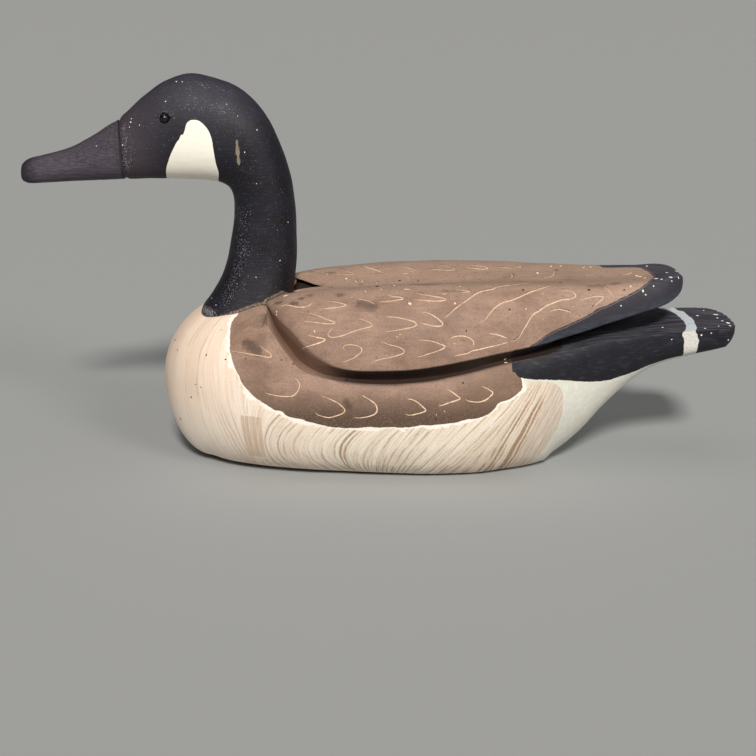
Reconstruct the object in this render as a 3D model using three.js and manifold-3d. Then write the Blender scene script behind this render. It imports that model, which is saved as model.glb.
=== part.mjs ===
// Carved and painted goose decoy: a breast-and-back block with folded wings and a tail carved
// on it, a head and neck set on its shoulder, and two small bead eyes. Millimetres, +Z up, bill
// towards -X, the bird's own middle on Y = 0, resting on the flat under its belly.

import * as THREE from 'three';
import { mergeVertices } from 'three/addons/utils/BufferGeometryUtils.js';
import Module from 'manifold-3d';

const wasm = await Module();
wasm.setup();

// Driving dimensions, as real sizes
const bodyLength = 360;         // front of the breast to the ends of the tail feathers
const bodyBreadth = 141;        // across the flanks at their widest
const backHeight = 119;         // floor to the crest of the folded wings
const standingHeight = 241.5;   // floor to the crown of the head
const headReach = 169;          // bill tip to the back of the neck
const billOverhang = 83.2;      // how far the bill tip stands out in front of the breast
const headBreadth = 48;         // across the cheeks
const neckFootBreadth = 60;     // across the foot of the neck where it meets the shoulder
const tailBreadth = 59;         // across the tail feathers near their ends
const wingLipRadius = 4.5;      // rounding of the wings' lower edge
const wingUndercut = 12;        // how far the carver cut in under the wing edge
const billCreaseDepth = 1.4;    // crease where the bill meets the face
const billCreaseWidth = 4.5;
const eyeDiameter = 5.8;
const eyeStandOut = 2.2;        // how far an eye bead stands out of the face
const eyeCornerReach = 1.9;     // the cut corners of the eye, in front of and behind the bead
const eyeCornerDepth = 0.9;
const tailFeathers = 7;
const featherScallop = 1.5;     // depth of the notch between two feather ends
const featherGrooveLength = 24;
const featherGrooveWidth = 2.4;
const featherGrooveDepth = 0.9;
const jointGap = 0.3;           // clearance left between pieces that touch

// The body's proportions are shares of its own length (from the breast back), height and
// half breadth. Each list holds the few stations that the shape turns at.
const halfBreadth = bodyBreadth / 2;

const breastNoseHeight = 0.454;       // foremost point of the breast
const breastTopReach = 0.135;         // end of the round from the nose up to the shoulder
const breastBottomReach = 0.084;      // end of the round from the nose down to the belly
const breastSideReach = 0.297;        // end of the round from the nose out to the flanks
const breastTopHeight = 0.875;
const breastSideBreadth = 0.965;
const tailOverrun = 1.02;             // the hull runs on past the tail, which is cut to its plan

const flankBreadth = profile([
  [0.297, 0.965], [0.42, 1], [0.549, 0.96], [0.616, 0.865], [0.682, 0.745], [0.752, 0.63],
  [0.822, 0.545], [0.891, 0.475], [0.961, 0.435], [1.02, 0.42],
]);
const flankHeight = profile([
  [0, 0.454], [0.2, 0.44], [0.5, 0.435], [0.66, 0.50], [0.75, 0.585], [0.83, 0.645],
  [0.9, 0.68], [1.02, 0.70],
]);
const shoulderTop = profile([
  [0.135, 0.875], [0.19, 0.892], [0.24, 0.885],
]);
const ledgeHeight = profile([
  [0.178, 0.885], [0.189, 0.86], [0.199, 0.815], [0.2175, 0.748], [0.232, 0.697], [0.245, 0.65],
  [0.265, 0.608], [0.303, 0.573], [0.38, 0.555], [0.448, 0.565], [0.514, 0.595], [0.58, 0.633],
  [0.649, 0.658], [0.719, 0.688], [0.752, 0.707], [0.822, 0.722], [0.891, 0.742], [0.961, 0.748],
  [1.02, 0.735],
]);
const keelHeight = profile([
  [0.676, 0], [0.70, 0.042], [0.735, 0.125], [0.77, 0.262], [0.815, 0.415], [0.845, 0.497],
  [0.87, 0.54], [0.92, 0.588], [0.97, 0.63], [1.02, 0.695],
]);
const bellyFlat = profile([
  [0.084, 0], [0.114, 0.15], [0.15, 0.25], [0.242, 0.397], [0.33, 0.478], [0.417, 0.543],
  [0.469, 0.57], [0.539, 0.543], [0.593, 0.44], [0.63, 0.35], [0.668, 0.19], [0.69, 0.05],
  [0.75, 0.03], [1.02, 0.03],
]);
const flankRoundness = profile([
  [0, 2], [0.13, 2.2], [0.19, 2.9], [0.25, 3.2], [0.6, 3.2], [0.8, 3.6], [1.02, 4],
]);
const bellyRoundness = profile([
  [0, 2], [0.3, 2.1], [0.6, 2], [0.8, 2.1], [0.92, 3], [1.02, 3.6],
]);

// The folded wings: one mantle over the back, from the neck to the wing tips over the tail
const mantleStart = 0.178;
const mantleEnd = 0.9135;
const wingCrestBreadth = profile([
  [0.178, 0.25], [0.27, 0.46], [0.38, 0.51], [0.6, 0.49], [0.7, 0.455], [0.774, 0.41], [0.841, 0.355],
  [0.874, 0.30], [0.893, 0.21], [0.9135, 0.06],
]);
const wingCrestHeight = profile([
  [0.178, 0.885], [0.20, 0.905], [0.22, 0.93], [0.256, 0.952], [0.329, 0.975], [0.418, 0.993],
  [0.51, 1], [0.6, 0.997], [0.685, 0.989], [0.774, 0.988], [0.841, 0.998], [0.874, 1.007],
  [0.893, 1.004], [0.905, 0.99], [0.9135, 0.968],
]);
const wingValleyDepth = profile([
  [0.178, 0.04], [0.21, 0.10], [0.235, 0.118], [0.265, 0.085], [0.30, 0.062], [0.5, 0.056],
  [0.62, 0.044], [0.75, 0.03], [0.87, 0.028], [0.9135, 0.01],
]);
const wingEdgeBreadth = profile([
  [0.178, 0.26], [0.185, 0.35], [0.193, 0.475], [0.202, 0.60], [0.2164, 0.715], [0.229, 0.785],
  [0.24, 0.83], [0.252, 0.866], [0.268, 0.90], [0.296, 0.93], [0.352, 0.955], [0.42, 0.965],
  [0.47, 0.96], [0.515, 0.936], [0.58, 0.865], [0.649, 0.755], [0.685, 0.69], [0.752, 0.59],
  [0.82, 0.51], [0.85, 0.47], [0.872, 0.42], [0.889, 0.34], [0.902, 0.24], [0.9105, 0.12],
  [0.9135, 0.03],
]);
const wingEdgeHeight = profile([
  [0.178, 0.875], [0.192, 0.858], [0.202, 0.822], [0.2164, 0.789], [0.229, 0.765], [0.24, 0.738],
  [0.252, 0.703], [0.268, 0.671], [0.294, 0.638], [0.32, 0.617], [0.352, 0.608], [0.415, 0.612],
  [0.448, 0.621], [0.514, 0.652], [0.58, 0.685], [0.649, 0.713], [0.685, 0.742], [0.723, 0.772],
  [0.758, 0.803], [0.787, 0.828], [0.822, 0.86], [0.855, 0.886], [0.878, 0.91], [0.9, 0.935],
  [0.9135, 0.95],
]);
const wingUndersideHeight = profile([
  [0.178, 0.6], [0.3, 0.5], [0.6, 0.55], [0.68, 0.62], [0.72, 0.69], [0.76, 0.765], [0.82, 0.835],
  [0.88, 0.885], [0.9135, 0.93],
]);
const wingJoinBreadth = profile([
  [0.178, 0.2], [0.25, 0.6], [0.3, 0.76], [0.42, 0.795], [0.52, 0.76], [0.6, 0.6], [0.66, 0.38],
  [0.715, 0.06], [0.77, 0], [0.9135, 0],
]);
const wingRoundness = profile([
  [0.178, 2.2], [0.6, 2.3], [0.72, 2.5], [0.85, 2.8], [0.9135, 2.8],
]);

// Head and neck: matching points on the under line (bill, chin, front of the neck) and the
// over line (bill ridge, crown, nape), as shares of headReach from the bill tip and of
// standingHeight; then half breadth as a share of headBreadth, roundness, and taper to the top
const headStations = [
  [0, 0.742, 0, 0.763, 0.075, 2.4, 0.10],
  [0.007, 0.730, 0.006, 0.776, 0.130, 2.4, 0.15],
  [0.035, 0.7245, 0.032, 0.789, 0.172, 2.4, 0.20],
  [0.090, 0.7265, 0.090, 0.7985, 0.198, 2.3, 0.22],
  [0.180, 0.730, 0.178, 0.8155, 0.225, 2.3, 0.24],
  [0.265, 0.733, 0.262, 0.845, 0.262, 2.3, 0.24],
  [0.345, 0.735, 0.330, 0.8745, 0.300, 2.3, 0.22],
  [0.372, 0.736, 0.354, 0.883, 0.318, 2.3, 0.20],
  [0.395, 0.7365, 0.374, 0.895, 0.362, 2.4, 0.16],
  [0.425, 0.737, 0.400, 0.910, 0.395, 2.4, 0.12],
  [0.480, 0.738, 0.455, 0.944, 0.440, 2.4, 0.08],
  [0.550, 0.738, 0.535, 0.982, 0.480, 2.4, 0.06],
  [0.620, 0.736, 0.622, 1.000, 0.500, 2.4, 0.05],
  [0.682, 0.734, 0.715, 0.988, 0.498, 2.4, 0.05],
  [0.727, 0.728, 0.810, 0.959, 0.485, 2.4, 0.04],
  [0.756, 0.716, 0.892, 0.898, 0.468, 2.4, 0.02],
  [0.769, 0.696, 0.951, 0.810, 0.450, 2.4, 0],
  [0.772, 0.666, 0.982, 0.735, 0.440, 2.4, 0],
  [0.766, 0.620, 0.996, 0.655, 0.440, 2.4, 0],
  [0.753, 0.572, 0.998, 0.584, 0.450, 2.5, 0],
  [0.738, 0.524, 0.997, 0.532, 0.475, 2.6, 0],
  [0.711, 0.477, 0.991, 0.488, 0.520, 2.7, 0],
  [0.676, 0.432, 0.983, 0.447, 0.580, 2.8, 0],
  [0.645, 0.395, 0.976, 0.412, 0.625, 2.8, 0],
  [0.640, 0.355, 0.972, 0.365, 0.640, 2.8, 0],
];
const creaseStation = 7.4;      // where the crease lies, counted in the stations above
const footStation = 19;         // the neck starts to spread into its foot here
const eyeAlong = 0.547;         // eye centre, as shares of headReach and standingHeight
const eyeUp = 0.897;

// How finely the forms are faceted
const noseStations = 11;
const hullStations = 34;
const mantleStations = 42;
const headRings = 45;
const headSides = 24;

// Smooth curve through [place, value] pairs that never overshoots them
function profile(pairs) {
  const last = pairs.length - 1;
  const slope = pairs.slice(1).map(([place, value], i) => (value - pairs[i][1]) / (place - pairs[i][0]));
  const tangent = pairs.map((_, i) => {
    if (i === 0) return slope[0];
    if (i === last) return slope[last - 1];
    if (slope[i - 1] * slope[i] <= 0) return 0;
    return (2 * slope[i - 1] * slope[i]) / (slope[i - 1] + slope[i]);
  });
  return (place) => {
    if (place <= pairs[0][0]) return pairs[0][1];
    if (place >= pairs[last][0]) return pairs[last][1];
    const i = pairs.findIndex((pair) => pair[0] >= place) - 1;
    const span = pairs[i + 1][0] - pairs[i][0];
    const t = (place - pairs[i][0]) / span;
    const lead = t * (1 - t) * (1 - t) * span * tangent[i];
    const trail = t * t * (1 - t) * span * tangent[i + 1];
    return mix(pairs[i][1], pairs[i + 1][1], ease(t)) + lead - trail;
  };
}

function mix(a, b, t) {
  return a + (b - a) * t;
}

function clamp(t) {
  return Math.min(1, Math.max(0, t));
}

function ease(t) {
  return clamp(t) ** 2 * (3 - 2 * clamp(t));
}

// Height of a round at a distance from its middle, both as shares of its radius
function roundAt(share) {
  return Math.sqrt(Math.max(0, 1 - share * share));
}

// How far out a rounded section is at a rise, both as shares; n = 2 is round, more is boxier
function bulge(rise, n) {
  return Math.max(0, 1 - Math.abs(rise) ** n) ** (1 / n);
}

// A closed solid through a row of rings that all have the same number of points
function loft(rings) {
  const sides = rings[0].length;
  const points = rings.flat();
  const faces = [];
  for (let ring = 0; ring < rings.length - 1; ring += 1) {
    for (let side = 0; side < sides; side += 1) {
      const a = ring * sides + side;
      const b = ring * sides + ((side + 1) % sides);
      faces.push(a, b, b + sides, a, b + sides, a + sides);
    }
  }
  for (const ring of [0, rings.length - 1]) {
    const hub = new THREE.Vector3();
    rings[ring].forEach((point) => hub.addScaledVector(point, 1 / sides));
    points.push(hub);
    for (let side = 0; side < sides; side += 1) {
      const a = ring * sides + side;
      const b = ring * sides + ((side + 1) % sides);
      faces.push(ring === 0 ? b : a, ring === 0 ? a : b, points.length - 1);
    }
  }
  const geometry = new THREE.BufferGeometry().setFromPoints(points);
  geometry.setIndex(faces);
  return facingOut(geometry);
}

// Turns the faces of a closed geometry outwards
function facingOut(geometry) {
  const place = geometry.attributes.position;
  const index = geometry.index.array;
  const corner = (i) => new THREE.Vector3().fromBufferAttribute(place, index[i]);
  let volume = 0;
  for (let i = 0; i < index.length; i += 3) {
    volume += corner(i).dot(corner(i + 1).cross(corner(i + 2)));
  }
  if (volume < 0) index.reverse();
  return geometry;
}

function solid(geometry) {
  const bare = geometry.clone();
  bare.deleteAttribute('normal');
  bare.deleteAttribute('uv');
  const merged = mergeVertices(bare);
  return new wasm.Manifold(new wasm.Mesh({
    numProp: 3,
    vertProperties: new Float32Array(merged.attributes.position.array),
    triVerts: new Uint32Array(merged.index.array),
  }));
}

function geometryOf(piece) {
  const { vertProperties, triVerts } = piece.getMesh();
  const geometry = new THREE.BufferGeometry();
  geometry.setAttribute('position', new THREE.BufferAttribute(vertProperties, 3));
  geometry.setIndex(new THREE.BufferAttribute(triVerts, 1));
  geometry.computeVertexNormals();
  return geometry;
}

// Moves a half outline outwards by a clearance
function grown(half, by) {
  return half.map(([y, z], i) => {
    const before = half[Math.max(0, i - 1)];
    const after = half[Math.min(half.length - 1, i + 1)];
    const [dy, dz] = [after[0] - before[0], after[1] - before[1]];
    const size = Math.hypot(dy, dz) || 1;
    const onMiddle = i === 0 || i === half.length - 1;
    return [onMiddle ? 0 : Math.max(0, y + (by * dz) / size), z - (by * dy) / size];
  });
}

// Mirrors a half outline, listed from the lower middle to the upper middle, into a ring
function ringAt(share, half) {
  const x = share * bodyLength;
  const right = half.map(([y, z]) => new THREE.Vector3(x, y, z));
  const left = half.slice(1, -1).reverse().map(([y, z]) => new THREE.Vector3(x, -y, z));
  return [...right, ...left];
}

// Heights and breadths of the hull's section: its nose is round, the rest follows the profiles
function hullSection(share) {
  const inRound = (reach) => roundAt(clamp((reach - share) / reach));
  const top = share < breastTopReach
    ? mix(breastNoseHeight, breastTopHeight, inRound(breastTopReach))
    : shoulderTop(share);
  const bottom = share < breastBottomReach
    ? mix(breastNoseHeight, 0, inRound(breastBottomReach))
    : keelHeight(share);
  const breadth = share < breastSideReach
    ? breastSideBreadth * inRound(breastSideReach)
    : flankBreadth(share);
  const carved = ease((share - mantleStart) / 0.03);
  const ledge = ledgeHeight(share) * backHeight;
  const middle = flankHeight(share) * backHeight;
  const dome = mix(top * backHeight, ledge + 0.1 * backHeight, carved);
  const n = flankRoundness(share);
  const rim = mix(mix(middle, dome, 0.75), ledge, carved);
  const half = breadth * halfBreadth;
  return {
    half, middle, dome, n, rim, carved,
    low: bottom * backHeight,
    flat: Math.min(bellyFlat(share) * halfBreadth, 0.8 * half),
    rimY: half * bulge((rim - middle) / (dome - middle), n),
  };
}

// Upper surface inside the rim: the breast's dome, and behind it the ledge under the wings
function hullTop(section, y) {
  const { half, middle, dome, n, rim, rimY, carved } = section;
  const domeZ = mix(middle, dome, bulge(y / half, n));
  const ledgeZ = rim + 0.006 * backHeight * (1 - (y / rimY) ** 2);
  return mix(domeZ, ledgeZ, carved);
}

function hullHalf(share) {
  const section = hullSection(share);
  const { half, middle, dome, n, rim, rimY, low, flat } = section;
  const m = bellyRoundness(share);
  const [bellySteps, sideSteps, topSteps] = [6, 4, 4];
  const outline = [[0, low], [flat, low]];
  for (let i = 1; i <= bellySteps; i += 1) {
    const angle = (i / bellySteps) * Math.PI / 2;
    const z = mix(low, middle, 1 - Math.cos(angle) ** (2 / m));
    outline.push([mix(flat, half, Math.sin(angle) ** (2 / m)), z]);
  }
  for (let i = 1; i <= sideSteps; i += 1) {
    const z = mix(middle, rim, i / sideSteps);
    outline.push([half * bulge((z - middle) / (dome - middle), n), z]);
  }
  for (let i = 1; i <= topSteps; i += 1) {
    const y = rimY * (1 - i / topSteps);
    outline.push([y, hullTop(section, y)]);
  }
  return outline;
}

// Belly, breast, flanks, rump and tail in one
function hull(clearance) {
  const rings = [];
  const noseEnd = 0.19;
  for (let i = 0; i < noseStations; i += 1) {
    const angle = ((i + 0.3) / noseStations) * Math.PI / 2;
    rings.push(noseEnd * (1 - Math.cos(angle)));
  }
  for (let i = 0; i <= hullStations; i += 1) rings.push(mix(noseEnd, tailOverrun, i / hullStations));
  return loft(rings.map((share) => ringAt(share, grown(hullHalf(share), clearance))));
}

// Half outline of the wings' section: underside, rounded lip, outer face, crest and valley
function mantleHalf(share) {
  const edgeY = wingEdgeBreadth(share) * halfBreadth;
  const edgeZ = wingEdgeHeight(share) * backHeight;
  const crestY = Math.min(wingCrestBreadth(share) * halfBreadth, 0.7 * edgeY);
  const crestZ = wingCrestHeight(share) * backHeight;
  const lip = Math.min(wingLipRadius, 0.45 * (crestZ - edgeZ), 0.45 * edgeY);
  const joinY = Math.max(0, Math.min(wingJoinBreadth(share) * halfBreadth, edgeY - wingUndercut));
  const underZ = Math.min(wingUndersideHeight(share) * backHeight, edgeZ);
  const valley = wingValleyDepth(share) * backHeight;
  const n = wingRoundness(share);
  const [underSteps, lipSteps, faceSteps, valleySteps] = [4, 3, 7, 4];
  const outline = [[0, underZ], [0.5 * joinY, underZ]];
  for (let i = 1; i <= underSteps; i += 1) {
    const t = i / underSteps;
    outline.push([mix(joinY, edgeY - lip, t), mix(underZ, edgeZ, t ** 0.6)]);
  }
  for (let i = 1; i <= lipSteps; i += 1) {
    const angle = (i / lipSteps) * Math.PI / 2;
    outline.push([edgeY - lip * (1 - Math.sin(angle)), edgeZ + lip * (1 - Math.cos(angle))]);
  }
  for (let i = 1; i <= faceSteps; i += 1) {
    const angle = (i / faceSteps) * Math.PI / 2;
    const y = mix(crestY, edgeY, Math.cos(angle) ** (2 / n));
    outline.push([y, mix(edgeZ + lip, crestZ, Math.sin(angle) ** (2 / n))]);
  }
  for (let i = 1; i <= valleySteps; i += 1) {
    const t = i / valleySteps;
    outline.push([crestY * (1 - t), crestZ - valley * ease(t)]);
  }
  return outline;
}

// Both folded wings in one, with their tips standing free over the tail
function mantle(clearance) {
  const rings = [];
  for (let i = 0; i <= mantleStations; i += 1) {
    const t = i / mantleStations;
    const bunched = t - 0.11 * Math.sin(2 * Math.PI * t);
    const share = mix(mantleStart, mantleEnd, bunched);
    rings.push(ringAt(share, grown(mantleHalf(share), clearance)));
  }
  return loft(rings);
}

// End of the tail in plan, as a distance from the breast, falling back towards both corners
function tailEnd(y) {
  const corner = 0.021 * bodyLength;
  return bodyLength - corner * Math.abs((2 * y) / tailBreadth) ** 3.5;
}

// A block that cuts the hull to the tail's plan, with each feather end rounded
function tailPlan() {
  const halfTail = tailBreadth / 2;
  const [wide, shoulder, corner] = [0.86 * bodyLength, 0.93 * bodyLength, 0.96 * bodyLength];
  const outline = new THREE.Shape();
  outline.moveTo(-bodyBreadth, -bodyBreadth);
  outline.lineTo(wide, -bodyBreadth);
  outline.lineTo(shoulder, -1.3 * halfTail);
  outline.lineTo(corner, -halfTail);
  const steps = 6;
  for (let i = 0; i <= tailFeathers * steps; i += 1) {
    const y = halfTail * (-1 + (2 * i) / (tailFeathers * steps));
    const across = (i % steps) / steps;
    outline.lineTo(tailEnd(y) - featherScallop * (1 - roundAt(2 * across - 1)), y);
  }
  outline.lineTo(corner, halfTail);
  outline.lineTo(shoulder, 1.3 * halfTail);
  outline.lineTo(wide, bodyBreadth);
  outline.lineTo(-bodyBreadth, bodyBreadth);
  const block = new THREE.ExtrudeGeometry(outline, { depth: 2 * backHeight, bevelEnabled: false });
  return block.translate(0, 0, -0.5 * backHeight);
}

// A V cut between two feathers, running out of the tail's upper face towards the body
function featherGroove(y) {
  const ringOf = (x, depth) => {
    const top = hullTop(hullSection(x / bodyLength), y);
    const above = 2 * featherGrooveDepth;
    const half = featherGrooveWidth * (0.5 + above / (2 * featherGrooveDepth));
    return [
      new THREE.Vector3(x, y, top - depth),
      new THREE.Vector3(x, y + half, top - depth + above + featherGrooveDepth),
      new THREE.Vector3(x, y - half, top - depth + above + featherGrooveDepth),
    ];
  };
  const end = tailEnd(y);
  return loft([
    ringOf(end - featherGrooveLength, -0.2),
    ringOf(end - 0.5 * featherGrooveLength, 0.7 * featherGrooveDepth),
    ringOf(end + 1, featherGrooveDepth),
  ]);
}

function bodyPiece() {
  let piece = solid(hull(0)).add(solid(mantle(0))).intersect(solid(tailPlan()));
  for (let i = 1; i < tailFeathers; i += 1) {
    piece = piece.subtract(solid(featherGroove(tailBreadth * (i / tailFeathers - 0.5))));
  }
  return piece;
}

// One column of the head's stations as a smooth curve over the station number
function headCurve(column) {
  const points = headStations.map((row, i) => new THREE.Vector3(i, row[column], 0));
  const curve = new THREE.CatmullRomCurve3(points, false, 'catmullrom', 0.5);
  return (station) => curve.getPoint(station / (headStations.length - 1)).y;
}

const headLines = {
  underX: headCurve(0),
  underZ: headCurve(1),
  overX: headCurve(2),
  overZ: headCurve(3),
  breadth: headCurve(4),
  roundness: headCurve(5),
  taper: headCurve(6),
};

function headSection(station) {
  const point = (along, up) => new THREE.Vector3(along * headReach - billOverhang, 0, up * standingHeight);
  const under = point(headLines.underX(station), headLines.underZ(station));
  const over = point(headLines.overX(station), headLines.overZ(station));
  const stationPitch = headReach * 0.022;
  const fromCrease = ((station - creaseStation) * stationPitch) / (billCreaseWidth / 2);
  const crease = billCreaseDepth * Math.exp(-(fromCrease ** 2));
  const spread = ease((station - footStation) / (headStations.length - 1 - footStation));
  const throat = headLines.breadth(station) * headBreadth;
  const foot = (throat / (headStations.at(-1)[4] * headBreadth)) * (neckFootBreadth / 2);
  const reach = over.clone().sub(under).multiplyScalar(0.5);
  return {
    middle: under.clone().add(over).multiplyScalar(0.5),
    reach: reach.clone().setLength(reach.length() - crease),
    half: mix(throat, foot, spread) - crease,
    n: headLines.roundness(station),
    taper: headLines.taper(station),
  };
}

// Signed power, which squares off a circle's sine and cosine
function squared(value, n) {
  return Math.sign(value) * Math.abs(value) ** (2 / n);
}

function headRing(station) {
  const { middle, reach, half, n, taper } = headSection(station);
  return Array.from({ length: headSides }, (_, side) => {
    const angle = (side / headSides) * 2 * Math.PI;
    const up = squared(Math.cos(angle), n);
    const point = middle.clone().addScaledVector(reach, up);
    point.y = half * squared(Math.sin(angle), n) * (1 - taper * up);
    return point;
  });
}

// Half thickness of the head at a point of its side view
function headHalfAt(x, z) {
  const side = (station) => {
    const { middle, reach } = headSection(station);
    return (x - middle.x) * reach.z - (z - middle.z) * reach.x;
  };
  let [low, high] = [0, headStations.length - 1];
  for (let i = 0; i < 40; i += 1) {
    const guess = (low + high) / 2;
    if (side(guess) > 0) low = guess;
    else high = guess;
  }
  const { middle, reach, half, n, taper } = headSection(low);
  const up = ((z - middle.z) * reach.z + (x - middle.x) * reach.x) / reach.lengthSq();
  return half * bulge(up, n) * (1 - taper * up);
}

function headBlank() {
  const last = headStations.length - 1;
  return loft(Array.from({ length: headRings + 1 }, (_, i) => headRing((i / headRings) * last)));
}

const eyeRadius = eyeDiameter / 2;
const eyeX = eyeAlong * headReach - billOverhang;
const eyeZ = eyeUp * standingHeight;
const eyeY = headHalfAt(eyeX, eyeZ) + eyeStandOut - eyeRadius;

function eyeBead(side, clearance) {
  const bead = new THREE.SphereGeometry(eyeRadius + clearance, 12, 8);
  return bead.translate(eyeX, side * eyeY, eyeZ);
}

// The pointed corners of an eye: a shallow almond cut that the bead sits in
function eyeCorners(side) {
  const almond = new THREE.SphereGeometry(1, 12, 8);
  almond.scale(eyeRadius + eyeCornerReach, eyeCornerDepth, 0.55 * eyeRadius);
  return almond.translate(eyeX, side * headHalfAt(eyeX, eyeZ), eyeZ);
}

function headPiece() {
  let piece = solid(headBlank()).subtract(solid(hull(jointGap)).add(solid(mantle(jointGap))));
  for (const side of [1, -1]) {
    piece = piece.subtract(solid(eyeBead(side, jointGap))).subtract(solid(eyeCorners(side)));
  }
  return piece;
}

const paint = (color, roughness) => new THREE.MeshStandardMaterial({ color, roughness, metalness: 0 });
const backPaint = paint(0x8a7162, 0.75);
const headPaint = paint(0x26252e, 0.7);
const eyeGlass = paint(0x0c0b0c, 0.12);

const decoy = new THREE.Group();

function addPiece(name, piece, material) {
  const mesh = new THREE.Mesh(geometryOf(piece), material);
  mesh.name = name;
  decoy.add(mesh);
}

addPiece('body', bodyPiece(), backPaint);
addPiece('head_neck', headPiece(), headPaint);
addPiece('eye_left', solid(eyeBead(-1, 0)), eyeGlass);
addPiece('eye_right', solid(eyeBead(1, 0)), eyeGlass);

// The origin lies on the floor, under the middle of the whole bird's length
decoy.position.x = (billOverhang - bodyLength) / 2;
decoy.updateMatrixWorld(true);

export default decoy;
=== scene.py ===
# %% [markdown]
# # A carved and painted goose decoy
# The real bird is a block of light wood, carved with knife and gouge, with a second block for the
# head and neck set on its shoulder and two small glass beads for eyes. Everything here follows
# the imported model, which holds the true sizes: it is loaded first and is never moved.

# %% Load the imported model
import math
from functools import cache

import bmesh
import bpy
import numpy as np
from mathutils import Matrix, Vector, noise
from mathutils.bvhtree import BVHTree


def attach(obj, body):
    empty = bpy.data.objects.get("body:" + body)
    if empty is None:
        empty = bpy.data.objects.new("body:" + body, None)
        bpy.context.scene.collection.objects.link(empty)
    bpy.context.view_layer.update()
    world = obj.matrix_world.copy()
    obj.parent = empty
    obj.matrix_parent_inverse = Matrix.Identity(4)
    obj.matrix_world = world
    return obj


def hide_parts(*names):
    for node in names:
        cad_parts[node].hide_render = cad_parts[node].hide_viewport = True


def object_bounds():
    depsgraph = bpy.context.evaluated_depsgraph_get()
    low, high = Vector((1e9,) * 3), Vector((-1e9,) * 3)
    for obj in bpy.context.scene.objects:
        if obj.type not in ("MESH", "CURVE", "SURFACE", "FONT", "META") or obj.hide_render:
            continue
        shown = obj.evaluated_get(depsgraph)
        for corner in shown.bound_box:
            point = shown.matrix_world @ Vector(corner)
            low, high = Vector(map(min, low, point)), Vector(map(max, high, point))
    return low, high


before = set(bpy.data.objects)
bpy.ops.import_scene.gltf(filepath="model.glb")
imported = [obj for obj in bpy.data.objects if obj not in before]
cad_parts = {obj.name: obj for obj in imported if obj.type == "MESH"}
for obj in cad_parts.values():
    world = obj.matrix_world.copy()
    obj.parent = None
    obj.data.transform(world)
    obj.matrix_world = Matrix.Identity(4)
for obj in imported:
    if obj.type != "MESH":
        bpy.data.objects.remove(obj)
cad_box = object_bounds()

MM = 0.001
cad_low, cad_high = cad_box
print("The packed bird measures", [round(s / MM, 1) for s in cad_high - cad_low], "mm")

# %% [markdown]
# ## The camera
# The photograph looks down on the bird by sixteen degrees from about 0.9 m away. The camera comes
# first, because the carver's marks and the edges of the paint are laid on the bird through it:
# each is a few points read off the photograph, sent out as rays until they meet the wood.

# %% Camera at the photograph's angle
PHOTO_SIDE = 756  # pixels along each side of the photograph
FOCAL_PIXELS = 1400  # focal length, in the same pixels
SENSOR = 36  # sensor width in millimetres
CAMERA_PLACE = Vector((-0.0022, -0.86514, 0.29767))
LOOK_DOWN = math.radians(16)

camera = bpy.data.objects.new("camera", bpy.data.cameras.new("camera"))
bpy.context.scene.collection.objects.link(camera)
camera.data.sensor_width = SENSOR
camera.data.lens = SENSOR * FOCAL_PIXELS / PHOTO_SIDE
camera.location = CAMERA_PLACE
camera.rotation_euler = (math.pi / 2 - LOOK_DOWN, 0, 0)
bpy.context.scene.camera = camera
camera_turn = camera.rotation_euler.to_matrix()


def photo_ray(x, y):
    """The direction in which the camera sees a point of the photograph."""
    middle = PHOTO_SIDE / 2
    return (camera_turn @ Vector(((x - middle), (middle - y), -FOCAL_PIXELS))).normalized()


print("The lens is", round(camera.data.lens, 2), "mm")

# %% [markdown]
# ## Floor and light
# A floor of pale grey card runs out flat for twenty metres and rises a little beyond, as the paper
# in a studio does, so that it fills the view from every side. Three lamps light it evenly, as
# large soft boxes far away do. The shadows in the photograph say where two of them stand: one in
# front, whose shadow lies behind the tail, and one to the right, whose shadow lies behind the
# breast. A broad one overhead softens both. A lamp's angle is how wide it looks from the bird, so
# a wide angle gives a soft shadow.

# %% The floor's card
FLOOR_RADIUS = 20.0  # in metres
FLOOR_SIDES = 96
RISE_RADIUS, RISE_HEIGHT = 95.0, 5.5
FLOOR_GREY = (0.370, 0.384, 0.390, 1)
FLOOR_ROUGHNESS = 0.85


def new_object(name, bm):
    """Makes an object of a bmesh, which is used up."""
    piece = bpy.data.objects.new(name, bpy.data.meshes.new(name))
    bm.to_mesh(piece.data)
    bm.free()
    bpy.context.scene.collection.objects.link(piece)
    return piece


def vertices_in(geometry):
    """The vertices among all that an extrusion made."""
    return [item for item in geometry if isinstance(item, bmesh.types.BMVert)]


card = bmesh.new()
bmesh.ops.create_circle(card, cap_ends=True, segments=FLOOR_SIDES, radius=FLOOR_RADIUS)
far_rim = vertices_in(bmesh.ops.extrude_edge_only(card, edges=card.edges[:])["geom"])
widening = RISE_RADIUS / FLOOR_RADIUS
bmesh.ops.scale(card, verts=far_rim, vec=(widening, widening, 1))
bmesh.ops.translate(card, verts=far_rim, vec=(0, 0, RISE_HEIGHT))
bmesh.ops.recalc_face_normals(card, faces=card.faces)
floor = new_object("floor", card)

floor_card = bpy.data.materials.new("floor_card")
floor_card.use_nodes = True
card_shader = floor_card.node_tree.nodes["Principled BSDF"]
card_shader.inputs["Base Color"].default_value = FLOOR_GREY
card_shader.inputs["Roughness"].default_value = FLOOR_ROUGHNESS
floor.data.materials.append(floor_card)

# %% World and soft lamps
WORLD_GREY = (0.80, 0.83, 0.87, 1)
WORLD_STRENGTH = 0.05
LAMP_WARMTH = (1.0, 0.955, 0.90)
LAMPS = {  # where each lamp stands, its angle in degrees and its strength
    "lamp_front": ((0.05, -1.0, 0.80), 9, 3.1),
    "lamp_right": ((0.72, -0.80, 0.60), 18, 0.85),
    "lamp_top": ((-0.30, -0.10, 1.70), 50, 0.42),
}

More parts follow.
